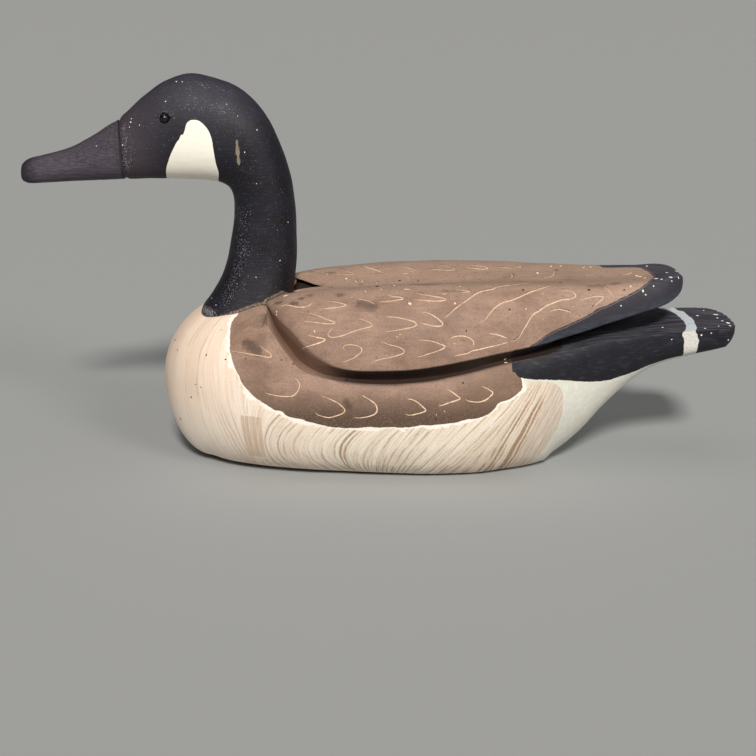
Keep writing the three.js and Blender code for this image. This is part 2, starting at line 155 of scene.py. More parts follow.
world = bpy.data.worlds.new("studio")
world.use_nodes = True
world.node_tree.nodes["Background"].inputs["Color"].default_value = WORLD_GREY
world.node_tree.nodes["Background"].inputs["Strength"].default_value = WORLD_STRENGTH
bpy.context.scene.world = world
bpy.context.scene.view_settings.view_transform = "Standard"

for name, (place, angle, strength) in LAMPS.items():
    lamp = bpy.data.objects.new(name, bpy.data.lights.new(name, "SUN"))
    lamp.data.angle = math.radians(angle)
    lamp.data.energy = strength
    lamp.data.color = LAMP_WARMTH
    lamp.location = place
    lamp.rotation_euler = (-Vector(place)).to_track_quat("-Z", "Y").to_euler()
    bpy.context.scene.collection.objects.link(lamp)
print("Lamps:", ", ".join(LAMPS))

# %% [markdown]
# ## The bird's proportions
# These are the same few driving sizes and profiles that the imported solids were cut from, now in
# metres. A profile is a smooth curve through a few stations, so the fine surface can be worked
# out at any spacing, while the solid behind it keeps its facets.

# %% Driving sizes and profiles
BODY_LENGTH = 360 * MM
HALF_BREADTH = 141 * MM / 2
BACK_HEIGHT = 119 * MM
STANDING_HEIGHT = 241.5 * MM
HEAD_REACH = 169 * MM
BILL_OVERHANG = 83.2 * MM
HEAD_BREADTH = 48 * MM
NECK_FOOT_BREADTH = 60 * MM
TAIL_BREADTH = 59 * MM
WING_LIP = 1.4 * MM  # the gouge leaves the lip crisper than the plain solid's
FRONT_BEVEL = (5.5 * MM, 4.0 * MM)  # how far the knife's bevel goes up and in
WING_UNDERCUT = 12 * MM
CREASE_DEPTH = 1.3 * MM
CREASE_ON_BILL = 0.5 * MM  # the notch drops steeply from the bill's rear edge
CREASE_ON_FACE = 1.7 * MM  # and rises gently on the face
EYE_RADIUS = 5.8 * MM / 2
EYE_STAND_OUT = 2.2 * MM
EYE_CORNER_REACH = 1.9 * MM
EYE_CORNER_DEPTH = 0.9 * MM
TAIL_FEATHERS = 7
FEATHER_SCALLOP = 1.5 * MM
FEATHER_GROOVE = (24 * MM, 2.4 * MM, 0.9 * MM)  # length, width, depth
JOINT_GAP = 0.3 * MM
FRONT = (BILL_OVERHANG - BODY_LENGTH) / 2  # where the breast starts along X
print("The breast starts at", round(FRONT / MM, 1), "mm")


# %% Easing, rounding and smooth profiles
def mix(a, b, t):
    return a + (b - a) * t


def clamp(t):
    return min(1.0, max(0.0, t))


def ease(t):
    return clamp(t) ** 2 * (3 - 2 * clamp(t))


def round_at(share):
    """Half the width of a circle at a share of its radius from the centre."""
    return math.sqrt(max(0.0, 1 - share * share))


def bulge(rise, n):
    """The same for a squared-off circle: n is 2 for a round one and grows as it gets squarer."""
    return max(0.0, 1 - abs(rise) ** n) ** (1 / n)


def profile(*pairs):
    """A smooth curve through (place, value) pairs that never overshoots them."""
    slope = [(b[1] - a[1]) / (b[0] - a[0]) for a, b in zip(pairs, pairs[1:])]
    inner = [2 * p * q / (p + q) if p * q > 0 else 0.0 for p, q in zip(slope, slope[1:])]
    tangent = [slope[0], *inner, slope[-1]]

    @cache
    def at(place):
        if place <= pairs[0][0]:
            return pairs[0][1]
        if place >= pairs[-1][0]:
            return pairs[-1][1]
        i = next(k for k, pair in enumerate(pairs) if pair[0] >= place) - 1
        span = pairs[i + 1][0] - pairs[i][0]
        t = (place - pairs[i][0]) / span
        lead = t * (1 - t) ** 2 * span * tangent[i]
        trail = t * t * (1 - t) * span * tangent[i + 1]
        return mix(pairs[i][1], pairs[i + 1][1], ease(t)) + lead - trail

    return at


# %% Profiles of the breast, flanks, belly and tail
BREAST_NOSE_HEIGHT = 0.454
BREAST_TOP_REACH = 0.135
BREAST_BOTTOM_REACH = 0.084
BREAST_SIDE_REACH = 0.297
BREAST_TOP_HEIGHT = 0.875
BREAST_SIDE_BREADTH = 0.965
TAIL_OVERRUN = 1.02

flank_breadth = profile(
    (0.297, 0.965), (0.42, 1), (0.549, 0.96), (0.616, 0.865), (0.682, 0.745), (0.752, 0.63),
    (0.822, 0.545), (0.891, 0.475), (0.961, 0.435), (1.02, 0.42))
flank_height = profile(
    (0, 0.454), (0.2, 0.44), (0.5, 0.435), (0.66, 0.50), (0.75, 0.585), (0.83, 0.645),
    (0.9, 0.68), (1.02, 0.70))
shoulder_top = profile((0.135, 0.875), (0.19, 0.892), (0.24, 0.885))
ledge_height = profile(
    (0.178, 0.885), (0.189, 0.855), (0.199, 0.80), (0.2175, 0.717), (0.232, 0.665), (0.245, 0.62),
    (0.265, 0.588), (0.303, 0.561), (0.38, 0.546), (0.448, 0.556), (0.514, 0.587), (0.58, 0.629),
    (0.649, 0.658), (0.719, 0.688), (0.752, 0.707), (0.822, 0.722), (0.891, 0.742),
    (0.961, 0.748), (1.02, 0.735))
keel_height = profile(
    (0.674, 0), (0.70, 0.052), (0.735, 0.146), (0.77, 0.276), (0.815, 0.42), (0.845, 0.499),
    (0.87, 0.54), (0.92, 0.588), (0.97, 0.63), (1.02, 0.695))
belly_flat = profile(
    (0.084, 0), (0.114, 0.15), (0.15, 0.25), (0.242, 0.397), (0.33, 0.478), (0.417, 0.543),
    (0.469, 0.57), (0.539, 0.543), (0.593, 0.44), (0.63, 0.35), (0.668, 0.19), (0.69, 0.05),
    (0.75, 0.03), (1.02, 0.03))
flank_roundness = profile(
    (0, 2), (0.13, 2.2), (0.19, 2.9), (0.25, 3.2), (0.6, 3.2), (0.8, 3.6), (1.02, 4))
belly_roundness = profile((0, 2), (0.3, 2.1), (0.6, 2), (0.8, 2.1), (0.92, 3), (1.02, 3.6))

# %% Profiles of the folded wings
MANTLE_START = 0.178
MANTLE_END = 0.9095

wing_crest_breadth = profile(
    (0.178, 0.25), (0.27, 0.46), (0.38, 0.51), (0.6, 0.49), (0.7, 0.455), (0.774, 0.41),
    (0.841, 0.355), (0.872, 0.30), (0.890, 0.21), (0.9095, 0.06))
wing_crest_height = profile(
    (0.178, 0.885), (0.20, 0.905), (0.22, 0.93), (0.256, 0.952), (0.329, 0.975), (0.418, 0.993),
    (0.51, 1), (0.6, 0.997), (0.685, 0.989), (0.774, 0.988), (0.841, 0.998), (0.874, 1.010),
    (0.891, 1.012), (0.902, 1.002), (0.9095, 0.98))
wing_valley_depth = profile(
    (0.178, 0.04), (0.21, 0.10), (0.235, 0.118), (0.265, 0.085), (0.30, 0.062), (0.5, 0.056),
    (0.62, 0.036), (0.75, 0.018), (0.87, 0.012), (0.9095, 0.005))
wing_edge_breadth = profile(
    (0.178, 0.26), (0.185, 0.35), (0.193, 0.475), (0.202, 0.60), (0.2164, 0.715), (0.229, 0.785),
    (0.24, 0.83), (0.252, 0.866), (0.268, 0.90), (0.296, 0.93), (0.352, 0.955), (0.42, 0.965),
    (0.47, 0.96), (0.515, 0.936), (0.58, 0.865), (0.649, 0.755), (0.685, 0.69), (0.752, 0.59),
    (0.82, 0.51), (0.85, 0.462), (0.868, 0.418), (0.884, 0.348), (0.896, 0.262), (0.9055, 0.16),
    (0.9095, 0.03))
wing_edge_height = profile(
    (0.178, 0.875), (0.192, 0.858), (0.202, 0.822), (0.2164, 0.789), (0.229, 0.765), (0.24, 0.738),
    (0.252, 0.703), (0.268, 0.671), (0.294, 0.638), (0.32, 0.617), (0.352, 0.608), (0.415, 0.612),
    (0.448, 0.621), (0.514, 0.652), (0.58, 0.685), (0.649, 0.713), (0.685, 0.738), (0.723, 0.764),
    (0.758, 0.793), (0.787, 0.816), (0.822, 0.845), (0.855, 0.868), (0.876, 0.888), (0.896, 0.912),
    (0.9095, 0.945))
wing_underside_height = profile(
    (0.178, 0.6), (0.3, 0.5), (0.6, 0.55), (0.68, 0.62), (0.72, 0.69), (0.76, 0.765),
    (0.82, 0.835), (0.88, 0.885), (0.9135, 0.93))
wing_join_breadth = profile(
    (0.178, 0.2), (0.25, 0.6), (0.3, 0.76), (0.42, 0.795), (0.52, 0.76), (0.6, 0.6), (0.66, 0.38),
    (0.715, 0.06), (0.77, 0), (0.9135, 0))
wing_roundness = profile((0.178, 2.2), (0.6, 2.3), (0.72, 2.5), (0.85, 2.8), (0.9135, 2.8))
print("Wings run from", round(MANTLE_START * BODY_LENGTH / MM), "to",
      round(MANTLE_END * BODY_LENGTH / MM), "mm behind the breast")

# %% [markdown]
# ## Wrapping paper round a form
# A carver pastes a paper pattern on the block. The same idea makes the mesh here: a flat grid of
# quads is wrapped round one half of a form, mirrored to the other half and closed at its ends.
# The quads stay even, which later gives the paint clean edges to follow, and every station
# comes from the same profiles as the solid, so the two can't drift apart.

# %% Wrap, mirror and close
MERGE_DISTANCE = 0.002 * MM
MIRROR_DISTANCE = 0.001 * MM


def bent_grid(bm, rows, columns, place):
    """Adds a grid of quads to a mesh, with each point moved to place(row, column)."""
    made = bmesh.ops.create_grid(bm, x_segments=rows, y_segments=columns, size=0.5)["verts"]
    for vertex in made:
        row = round((vertex.co.x + 0.5) * rows)
        column = round((vertex.co.y + 0.5) * columns)
        vertex.co = place(row, column)
    return made


def wrapped(rows, columns, place):
    """A mesh of one bent grid."""
    bm = bmesh.new()
    bent_grid(bm, rows, columns, place)
    return bm


def close(bm):
    """Merges a wrapped form's seams, fills its open ends and turns its faces outwards."""
    bmesh.ops.remove_doubles(bm, verts=bm.verts, dist=MERGE_DISTANCE)
    open_edges = [edge for edge in bm.edges if edge.is_boundary]
    bmesh.ops.holes_fill(bm, edges=open_edges, sides=0)
    bmesh.ops.recalc_face_normals(bm, faces=bm.faces)
    return bm


def whole(bm):
    """All of a mesh's parts, as many operators ask for them."""
    return bm.verts[:] + bm.edges[:] + bm.faces[:]


def mirrored(bm):
    """Adds the other half of a half form that ends on the bird's middle line."""
    bmesh.ops.mirror(bm, geom=whole(bm), axis="Y", merge_dist=MIRROR_DISTANCE)
    return close(bm)


def drawn_out(bm, faces, move, keep=False):
    """Draws faces out into a block by a move, and gives the vertices of its far end."""
    drawn = bmesh.ops.extrude_face_region(bm, geom=faces, use_keep_orig=keep)
    far_end = vertices_in(drawn["geom"])
    bmesh.ops.translate(bm, verts=far_end, vec=move)
    return far_end


# %% Boolean joins, search trees and clearances
def joined(piece, other, operation):
    """Joins or cuts a piece with another by an exact Boolean, whose result becomes its mesh."""
    modifier = piece.modifiers.new("join", "BOOLEAN")
    modifier.solver = "MANIFOLD"
    modifier.operation = operation
    modifier.object = other
    bpy.context.view_layer.update()
    seen = piece.evaluated_get(bpy.context.evaluated_depsgraph_get())
    result = bpy.data.meshes.new_from_object(seen)
    piece.modifiers.clear()
    piece.data = result
    bpy.data.objects.remove(other)
    print(piece.name, operation.lower(), "leaves", len(result.polygons), "faces")
    return piece


def surface_of(piece):
    """A search tree over a piece's present surface."""
    bm = bmesh.new()
    bm.from_mesh(piece.data)
    tree = BVHTree.FromBMesh(bm)
    bm.free()
    return tree


def grown(outline, by):
    """Moves a half outline outwards by a clearance."""
    moved = []
    for i, (y, z) in enumerate(outline):
        before = outline[max(0, i - 1)]
        after = outline[min(len(outline) - 1, i + 1)]
        dy, dz = after[0] - before[0], after[1] - before[1]
        size = math.hypot(dy, dz) or 1
        on_middle = i in (0, len(outline) - 1)
        moved.append((0 if on_middle else max(0, y + by * dz / size), z - by * dy / size))
    return moved


# %% [markdown]
# ## The hull: breast, flanks, belly and tail
# Below the wings the bird is a boat with a round nose. The outline of each section runs from the
# middle of the belly out over the flank and back to the middle of the top. Hand carving never
# leaves a true surface, so a slow noise takes up to a third of a millimetre off it, always
# inwards, so that the bird stays inside its box and flat on its belly.

# %% The hull's section
BELLY_STEPS, FLANK_STEPS, RIM_STEPS, TOP_STEPS = 8, 28, 14, 24
CARVED_WITHIN = 0.03  # the dome gives way to the ledge within this share of the length
DOME_OVER_LEDGE, RIM_ON_DOME = 0.1, 0.75
LEDGE_CAMBER = 0.006
WIDEST_FLAT = 0.8  # of the half breadth


@cache
def hull_section(share):
    """The sizes that shape the hull's section at a share of the body's length."""
    def in_round(reach):
        return round_at(clamp((reach - share) / reach))

    top = shoulder_top(share)
    if share < BREAST_TOP_REACH:
        top = mix(BREAST_NOSE_HEIGHT, BREAST_TOP_HEIGHT, in_round(BREAST_TOP_REACH))
    low = keel_height(share)
    if share < BREAST_BOTTOM_REACH:
        low = mix(BREAST_NOSE_HEIGHT, 0, in_round(BREAST_BOTTOM_REACH))
    breadth = flank_breadth(share)
    if share < BREAST_SIDE_REACH:
        breadth = BREAST_SIDE_BREADTH * in_round(BREAST_SIDE_REACH)
    carved = ease((share - MANTLE_START) / CARVED_WITHIN)
    ledge = ledge_height(share) * BACK_HEIGHT
    middle = flank_height(share) * BACK_HEIGHT
    dome = mix(top * BACK_HEIGHT, ledge + DOME_OVER_LEDGE * BACK_HEIGHT, carved)
    n = flank_roundness(share)
    rim = mix(mix(middle, dome, RIM_ON_DOME), ledge, carved)
    half = breadth * HALF_BREADTH
    flat = min(belly_flat(share) * HALF_BREADTH, WIDEST_FLAT * half)
    rim_y = half * bulge((rim - middle) / (dome - middle), n)
    return half, middle, dome, n, rim, carved, low * BACK_HEIGHT, flat, rim_y


def hull_top(share, y):
    """Height of the breast's dome, and behind it of the ledge under the wings."""
    half, middle, dome, n, rim, carved, _, _, rim_y = hull_section(share)
    dome_z = mix(middle, dome, bulge(y / half, n))
    ledge_z = rim + LEDGE_CAMBER * BACK_HEIGHT * (1 - (y / rim_y) ** 2)
    return mix(dome_z, ledge_z, carved)


@cache
def hull_half(share):
    """Half the outline of the section, from the middle of the belly to the middle of the top."""
    half, middle, dome, n, rim, _, low, flat, rim_y = hull_section(share)
    m = belly_roundness(share)
    outline = [(flat * i / BELLY_STEPS, low) for i in range(BELLY_STEPS + 1)]
    for i in range(1, FLANK_STEPS + 1):
        angle = i / FLANK_STEPS * math.pi / 2
        z = mix(low, middle, 1 - max(0.0, math.cos(angle)) ** (2 / m))
        outline.append((mix(flat, half, math.sin(angle) ** (2 / m)), z))
    for i in range(1, RIM_STEPS + 1):
        z = mix(middle, rim, i / RIM_STEPS)
        outline.append((half * bulge((z - middle) / (dome - middle), n), z))
    for i in range(1, TOP_STEPS + 1):
        y = rim_y * (1 - i / TOP_STEPS)
        outline.append((y, hull_top(share, y)))
    return outline


# %% The knife's flats
TOOL_WAVE = 0.35 * MM  # how deep the flats go
TOOL_PITCH = 17 * MM  # how far apart they lie
TOOL_FINE_PITCH = 0.4 * TOOL_PITCH
BELLY_CLEAR = 6 * MM  # below this height they fade out
CARVED_TOWARDS = 55 * MM


def taken_off(point, broad, fine):
    """From 0 to 1, how much of the knife's depth is taken off at a point."""
    return clamp(0.5 + 0.6 * (noise.noise(point / broad) + 0.5 * noise.noise(point / fine)))


def carved_by_hand(point):
    """Takes a little wood off the sides and top of a form, and none off its belly."""
    depth = TOOL_WAVE * taken_off(point, TOOL_PITCH, TOOL_FINE_PITCH) * ease(point.z / BELLY_CLEAR)
    middle = Vector((point.x, 0, CARVED_TOWARDS))
    return point + (middle - point).normalized() * depth


# %% Wrap the hull
NOSE_ROWS, NOSE_END = 34, 0.19
HULL_ROWS = 150
NOSE_SHARE = 0.00002  # the first ring is tiny but not a point

hull_shares = [NOSE_SHARE + NOSE_END * (1 - math.cos(i / NOSE_ROWS * math.pi / 2))
               for i in range(NOSE_ROWS)]
hull_shares += [mix(NOSE_END, TAIL_OVERRUN, i / HULL_ROWS) for i in range(HULL_ROWS + 1)]


def hull(name, clearance=0.0):
    """The hull, grown by a clearance where another piece is cut to fit it."""
    outlines = [grown(hull_half(share), clearance) for share in hull_shares]

    def place(row, column):
        y, z = outlines[row][column]
        point = Vector((hull_shares[row] * BODY_LENGTH + FRONT, y, z))
        return point if clearance else carved_by_hand(point)

    return new_object(name, mirrored(wrapped(len(hull_shares) - 1, len(outlines[0]) - 1, place)))


body = hull("goose_body")
print("The hull has", len(body.data.polygons), "faces")

# %% [markdown]
# ## The folded wings
# Both wings are one thick mantle over the back. Its lower edge is undercut with a gouge and
# rounded, and at the front the knife left a flat bevel instead. Its top has a crest on each side
# with a valley between, deepest right behind the neck, and the tips stand free over the tail. The
# tips' lower edge is torn end grain, so it is made a little ragged.

# %% The mantle's section
UNDER_STEPS, LIP_STEPS, FACE_STEPS, VALLEY_STEPS = 10, 7, 30, 12
BEVEL_END = (0.235, 0.33)  # the bevel at the wing's front fades out between these shares
WIDEST_CREST, DEEPEST_LIP = 0.7, 0.45  # of the breadth at the wing's edge
HIGHEST_LIP = 0.45  # of the height between edge and crest
UNDER_CURVE = 0.6


def wing_lip(share):
    """How far the lip rises, how far it is set in, and from 0 to 1 how much it is a flat bevel."""
    bevelled = 1 - ease((share - BEVEL_END[0]) / (BEVEL_END[1] - BEVEL_END[0]))
    up, back = FRONT_BEVEL
    return mix(WING_LIP, up, bevelled), mix(WING_LIP, back, bevelled), bevelled


@cache
def mantle_half(share):
    """Half the outline of the mantle's section, from the middle below to the middle above."""
    edge_y = wing_edge_breadth(share) * HALF_BREADTH
    edge_z = wing_edge_height(share) * BACK_HEIGHT
    crest_y = min(wing_crest_breadth(share) * HALF_BREADTH, WIDEST_CREST * edge_y)
    crest_z = wing_crest_height(share) * BACK_HEIGHT
    rise, inset, bevelled = wing_lip(share)
    rise = min(rise, HIGHEST_LIP * (crest_z - edge_z))
    inset = min(inset, DEEPEST_LIP * edge_y)
    join_y = max(0.0, min(wing_join_breadth(share) * HALF_BREADTH, edge_y - WING_UNDERCUT))
    under_z = min(wing_underside_height(share) * BACK_HEIGHT, edge_z)
    valley = wing_valley_depth(share) * BACK_HEIGHT
    n = wing_roundness(share)
    outline = [(0, under_z), (0.5 * join_y, under_z)]
    for i in range(1, UNDER_STEPS + 1):
        t = i / UNDER_STEPS
        outline.append((mix(join_y, edge_y - inset, t), mix(under_z, edge_z, t ** UNDER_CURVE)))
    for i in range(1, LIP_STEPS + 1):
        t = i / LIP_STEPS
        out = mix(math.sin(t * math.pi / 2), t, bevelled)
        up = mix(1 - math.cos(t * math.pi / 2), t, bevelled)
        outline.append((edge_y - inset * (1 - out), edge_z + rise * up))
    for i in range(1, FACE_STEPS + 1):
        angle = i / FACE_STEPS * math.pi / 2
        y = mix(crest_y, edge_y, max(0.0, math.cos(angle)) ** (2 / n))
        outline.append((y, mix(edge_z + rise, crest_z, math.sin(angle) ** (2 / n))))
    for i in range(1, VALLEY_STEPS + 1):
        t = i / VALLEY_STEPS
        outline.append((crest_y * (1 - t), crest_z - valley * ease(t)))
    return outline


# %% Wrap the mantle
MANTLE_ROWS = 138
ROWS_CROWD = 0.11  # how much they crowd together towards both ends
TORN_DEPTH = 0.55 * MM
TORN_PITCH = 3 * MM
TORN_FROM, TORN_WITHIN = 0.6, 0.1  # where it starts, and how soon it is full
TORN_COLUMNS = range(UNDER_STEPS - 1, UNDER_STEPS + LIP_STEPS + 3)


def mantle(name, clearance=0.0):
    """The mantle, grown by a clearance where another piece is cut to fit it."""
    steps = [i / MANTLE_ROWS for i in range(MANTLE_ROWS + 1)]
    crowded = [t - ROWS_CROWD * math.sin(2 * math.pi * t) for t in steps]
    shares = [mix(MANTLE_START, MANTLE_END, t) for t in crowded]
    outlines = [grown(mantle_half(share), clearance) for share in shares]

    def place(row, column):
        y, z = outlines[row][column]
        point = Vector((shares[row] * BODY_LENGTH + FRONT, y, z))
        if clearance:
            return point
        if column in TORN_COLUMNS and y > TORN_DEPTH:
            tear = noise.noise(Vector((point.x / TORN_PITCH, column / 6, 7.0)))
            far_enough = ease((shares[row] - TORN_FROM) / TORN_WITHIN)
            point.y -= TORN_DEPTH * far_enough * clamp(0.3 + tear)
        return carved_by_hand(point)

    return new_object(name, mirrored(wrapped(MANTLE_ROWS, len(outlines[0]) - 1, place)))


wings = mantle("wings")
wing_surface = surface_of(wings)
print("The wings have", len(wings.data.polygons), "faces")

# %% [markdown]
# ## The tail's plan and its feathers
# Seen from above the tail is cut square, with seven feather ends rounded off, and a knife line
# runs in between two feathers. The hull runs on a little past the tail: a flat grid is bent to
# the plan, drawn up into a block and kept where it meets the hull. Then the lower edge of the
# tail's end is rounded off, by taking away a second block whose top is that round.

# %% Cut the tail to its plan
SCALLOP_STEPS = 12
CORNER_FALL = 0.021 * BODY_LENGTH # how far the corners lie ahead of the tail's end
CORNER_CURVE = 3.5  # how late the end starts to fall back
FEATHER_WEAR = 0.5 * MM
WEAR_PITCH = 4 * MM
PLAN_FLOOR, PLAN_FRONT = -20 * MM, -20 * MM
PLAN_SIDES = (  # half breadth and share of the length, ahead of the corners
    (1.01 * TAIL_BREADTH / 2, 0.96), (1.3 * TAIL_BREADTH / 2, 0.93), (2.1 * HALF_BREADTH, 0.86))


def tail_end(y):
    """End of the tail in plan, falling back towards both corners."""
    return BODY_LENGTH - CORNER_FALL * abs(2 * y / TAIL_BREADTH) ** CORNER_CURVE


def tail_plan():
    """All that lies ahead of the scalloped end of the tail."""
    half = TAIL_BREADTH / 2
    ends = []
    count = TAIL_FEATHERS * SCALLOP_STEPS
    for i in range(count + 1):
        y = half * (-1 + 2 * i / count)
        across = (i % SCALLOP_STEPS) / SCALLOP_STEPS
        worn = FEATHER_WEAR * clamp(noise.noise(Vector((y / WEAR_PITCH, 3.0, 0.0))))
        ends.append((y, tail_end(y) - FEATHER_SCALLOP * (1 - round_at(2 * across - 1)) - worn))
    near = [(-y, share * BODY_LENGTH) for y, share in reversed(PLAN_SIDES)]
    far = [(y, share * BODY_LENGTH) for y, share in PLAN_SIDES]
    outline = near + ends + far

    def place(row, column):
        y, end = outline[column]
        return Vector((FRONT + (end if row else PLAN_FRONT), y, PLAN_FLOOR))

    bm = wrapped(1, len(outline) - 1, place)
    drawn_out(bm, bm.faces[:], (0, 0, 2 * BACK_HEIGHT))
    return new_object("tail_plan", close(bm))


# %% Round the lower edge of its end
TAIL_ROUND = 7 * MM
ROUND_ROWS, ROUND_COLUMNS = 8, 28
ROUND_HALF = 0.62 * TAIL_BREADTH
LEAD_IN, LEAD_DROP, RUN_OUT = 4 * MM, 1.5 * MM, 3 * MM
MEASURED_AT = 0.8  # the underside is measured clear of the tail's side faces
BLOCK_DEPTH = 40 * MM


def tail_corner():
    """All that lies below the rounded lower edge of the tail's end."""
    hull_surface = surface_of(body)

    def place(row, column):
        y = ROUND_HALF * (-1 + 2 * column / ROUND_COLUMNS)
        inside = max(-TAIL_BREADTH / 2, min(TAIL_BREADTH / 2, y))
        turn = math.pi / 2 * clamp((row - 1) / (ROUND_ROWS - 2))
        back = TAIL_ROUND * (1 - math.sin(turn))
        back += LEAD_IN if row == 0 else 0
        back -= RUN_OUT if row == ROUND_ROWS else 0
        x = FRONT + tail_end(inside) - back
        under, *_ = hull_surface.ray_cast(Vector((x, MEASURED_AT * inside, 0)), Vector((0, 0, 1)))
        rise = TAIL_ROUND * (1 - math.cos(turn)) - (LEAD_DROP if row == 0 else 0)
        return Vector((x, y, under.z + rise))

    bm = wrapped(ROUND_ROWS, ROUND_COLUMNS, place)
    drawn_out(bm, bm.faces[:], (0, 0, -BLOCK_DEPTH))
    return new_object("tail_corner", close(bm))


under_the_tail = tail_corner()
joined(body, tail_plan(), "INTERSECT")
joined(body, under_the_tail, "DIFFERENCE")
joined(body, wings, "UNION")

# %% Knife lines between the tail feathers
LINE_START = -0.2 * MM  # a line starts a hair above the wood,
LINE_MIDDLE = 0.7  # is this share of its depth halfway,
LINE_OVERRUN = 1 * MM  # and runs out past the tail's end
LINE_WANDER = 0.4 * MM
CUTTER_TOP = 3  # how much deeper and wider than the groove the cutter is


def feather_lines():
    """Long V cutters that run out of the tail's upper face towards the body."""
    length, width, depth = FEATHER_GROOVE
    bm = bmesh.new()
    for i in range(1, TAIL_FEATHERS):
        y = TAIL_BREADTH * (i / TAIL_FEATHERS - 0.5)
        end = tail_end(y)
        stops = ((end - length, LINE_START), (end - length / 2, LINE_MIDDLE * depth),
                 (end + LINE_OVERRUN, depth))
        wander = LINE_WANDER * noise.noise(Vector((i * 1.7, 0.0, 5.0)))
        rings = [bmesh.ops.create_circle(bm, cap_ends=True, segments=3, radius=width)["verts"]]
        for _ in stops[1:]:
            loop = {edge for vertex in rings[-1] for edge in vertex.link_edges
                    if edge.other_vert(vertex) in rings[-1]}
            rings.append(vertices_in(bmesh.ops.extrude_edge_only(bm, edges=list(loop))["geom"]))
        for ring, (x, cut) in zip(rings, stops):
            top = hull_top(x / BODY_LENGTH, y)
            side, lift = CUTTER_TOP / 2 * width, CUTTER_TOP * depth - cut
            for vertex, (out, up) in zip(ring, ((0, -cut), (side, lift), (-side, lift))):
                vertex.co = Vector((x + FRONT, y + wander + out, top + up))
    return new_object("feather_lines", close(bm))


joined(body, feather_lines(), "DIFFERENCE")

# %% [markdown]
# ## Head and neck
# Bill, head and neck are carved from one piece whose grain runs along the bill. A row of
# stations follows the under line and the over line together, from the bill's tip to the neck's
# foot, and each ring is a squared-off circle between them. One half is wrapped and mirrored,
# then the foot is cut to sit on the shoulder, with the gap that a hand-fitted joint leaves.

# %% The head's stations and section
head_stations = (
    # under line along and up, over line along and up, half breadth, roundness, taper
    (0, 0.742, 0, 0.763, 0.075, 2.4, 0.10),
    (0.007, 0.730, 0.006, 0.776, 0.130, 2.4, 0.15),
    (0.035, 0.7245, 0.032, 0.789, 0.172, 2.4, 0.20),
    (0.090, 0.7265, 0.090, 0.7985, 0.198, 2.3, 0.22),
    (0.180, 0.730, 0.178, 0.8155, 0.225, 2.3, 0.24),
    (0.265, 0.733, 0.262, 0.845, 0.262, 2.3, 0.24),
    (0.345, 0.735, 0.330, 0.8745, 0.300, 2.3, 0.22),
    (0.372, 0.736, 0.354, 0.883, 0.318, 2.3, 0.20),
    (0.395, 0.7365, 0.374, 0.895, 0.362, 2.4, 0.16),
    (0.425, 0.737, 0.400, 0.910, 0.395, 2.4, 0.12),
    (0.480, 0.738, 0.455, 0.944, 0.440, 2.4, 0.08),
    (0.550, 0.738, 0.535, 0.982, 0.480, 2.4, 0.06),
    (0.620, 0.736, 0.622, 1.000, 0.500, 2.4, 0.05),
    (0.682, 0.734, 0.715, 0.988, 0.498, 2.4, 0.05),
    (0.727, 0.728, 0.810, 0.959, 0.485, 2.4, 0.04),
    (0.756, 0.716, 0.892, 0.898, 0.468, 2.4, 0.02),
    (0.769, 0.696, 0.951, 0.810, 0.450, 2.4, 0),
    (0.772, 0.666, 0.982, 0.735, 0.440, 2.4, 0),
    (0.766, 0.620, 0.996, 0.655, 0.440, 2.4, 0),
    (0.753, 0.572, 0.998, 0.584, 0.450, 2.5, 0),
    (0.738, 0.524, 0.997, 0.532, 0.475, 2.6, 0),
    (0.711, 0.477, 0.991, 0.488, 0.520, 2.7, 0),
    (0.672, 0.432, 0.983, 0.447, 0.580, 2.8, 0),
    (0.634, 0.395, 0.976, 0.412, 0.625, 2.8, 0),
    (0.618, 0.355, 0.972, 0.365, 0.640, 2.8, 0))
LAST_STATION = len(head_stations) - 1
LAST_BREADTH = head_stations[-1][4]
CREASE_STATION = 7.4  # where the bill meets the face
STATION_SPACING = 0.022 * HEAD_REACH  # how far apart the stations lie there
FOOT_STATION = 19  # from here on the neck spreads to its foot


def through(values, place):
    """A smooth curve through evenly spaced values, carried straight on past both ends."""
    i = min(int(place), len(values) - 2)
    t = place - i
    a, b = values[i], values[i + 1]
    before = values[i - 1] if i > 0 else 2 * a - b
    after = values[i + 2] if i + 2 < len(values) else 2 * b - a
    out, back = 0.5 * (b - before), 0.5 * (after - a)
    return ((2 * a - 2 * b + out + back) * t ** 3 + (3 * b - 3 * a - 2 * out - back) * t * t
            + out * t + a)


head_columns = list(zip(*head_stations))


@cache
def head_section(station):
    """A ring's middle, the way from there to its over line, half breadth, roundness and taper."""
    measures = [through(column, station) for column in head_columns]
    under_x, under_z, over_x, over_z, breadth, n, taper = measures
    under = Vector((under_x * HEAD_REACH - BILL_OVERHANG + FRONT, 0, under_z * STANDING_HEIGHT))
    over = Vector((over_x * HEAD_REACH - BILL_OVERHANG + FRONT, 0, over_z * STANDING_HEIGHT))
    from_crease = (station - CREASE_STATION) * STATION_SPACING
    slope = CREASE_ON_FACE if from_crease > 0 else CREASE_ON_BILL
    crease = CREASE_DEPTH * math.exp(-(from_crease / slope) ** 2)
    spread = ease((station - FOOT_STATION) / (LAST_STATION - FOOT_STATION))
    throat = breadth * HEAD_BREADTH
    foot = throat / (LAST_BREADTH * HEAD_BREADTH) * NECK_FOOT_BREADTH / 2
    reach = (over - under) / 2
    reach = reach.normalized() * (reach.length - crease)
    return (under + over) / 2, reach, mix(throat, foot, spread) - crease, n, taper


# %% Where the eyes sit
EYE_ALONG, EYE_UP = 0.547, 0.897  # as shares of the head's reach and of the standing height
HALVINGS = 40


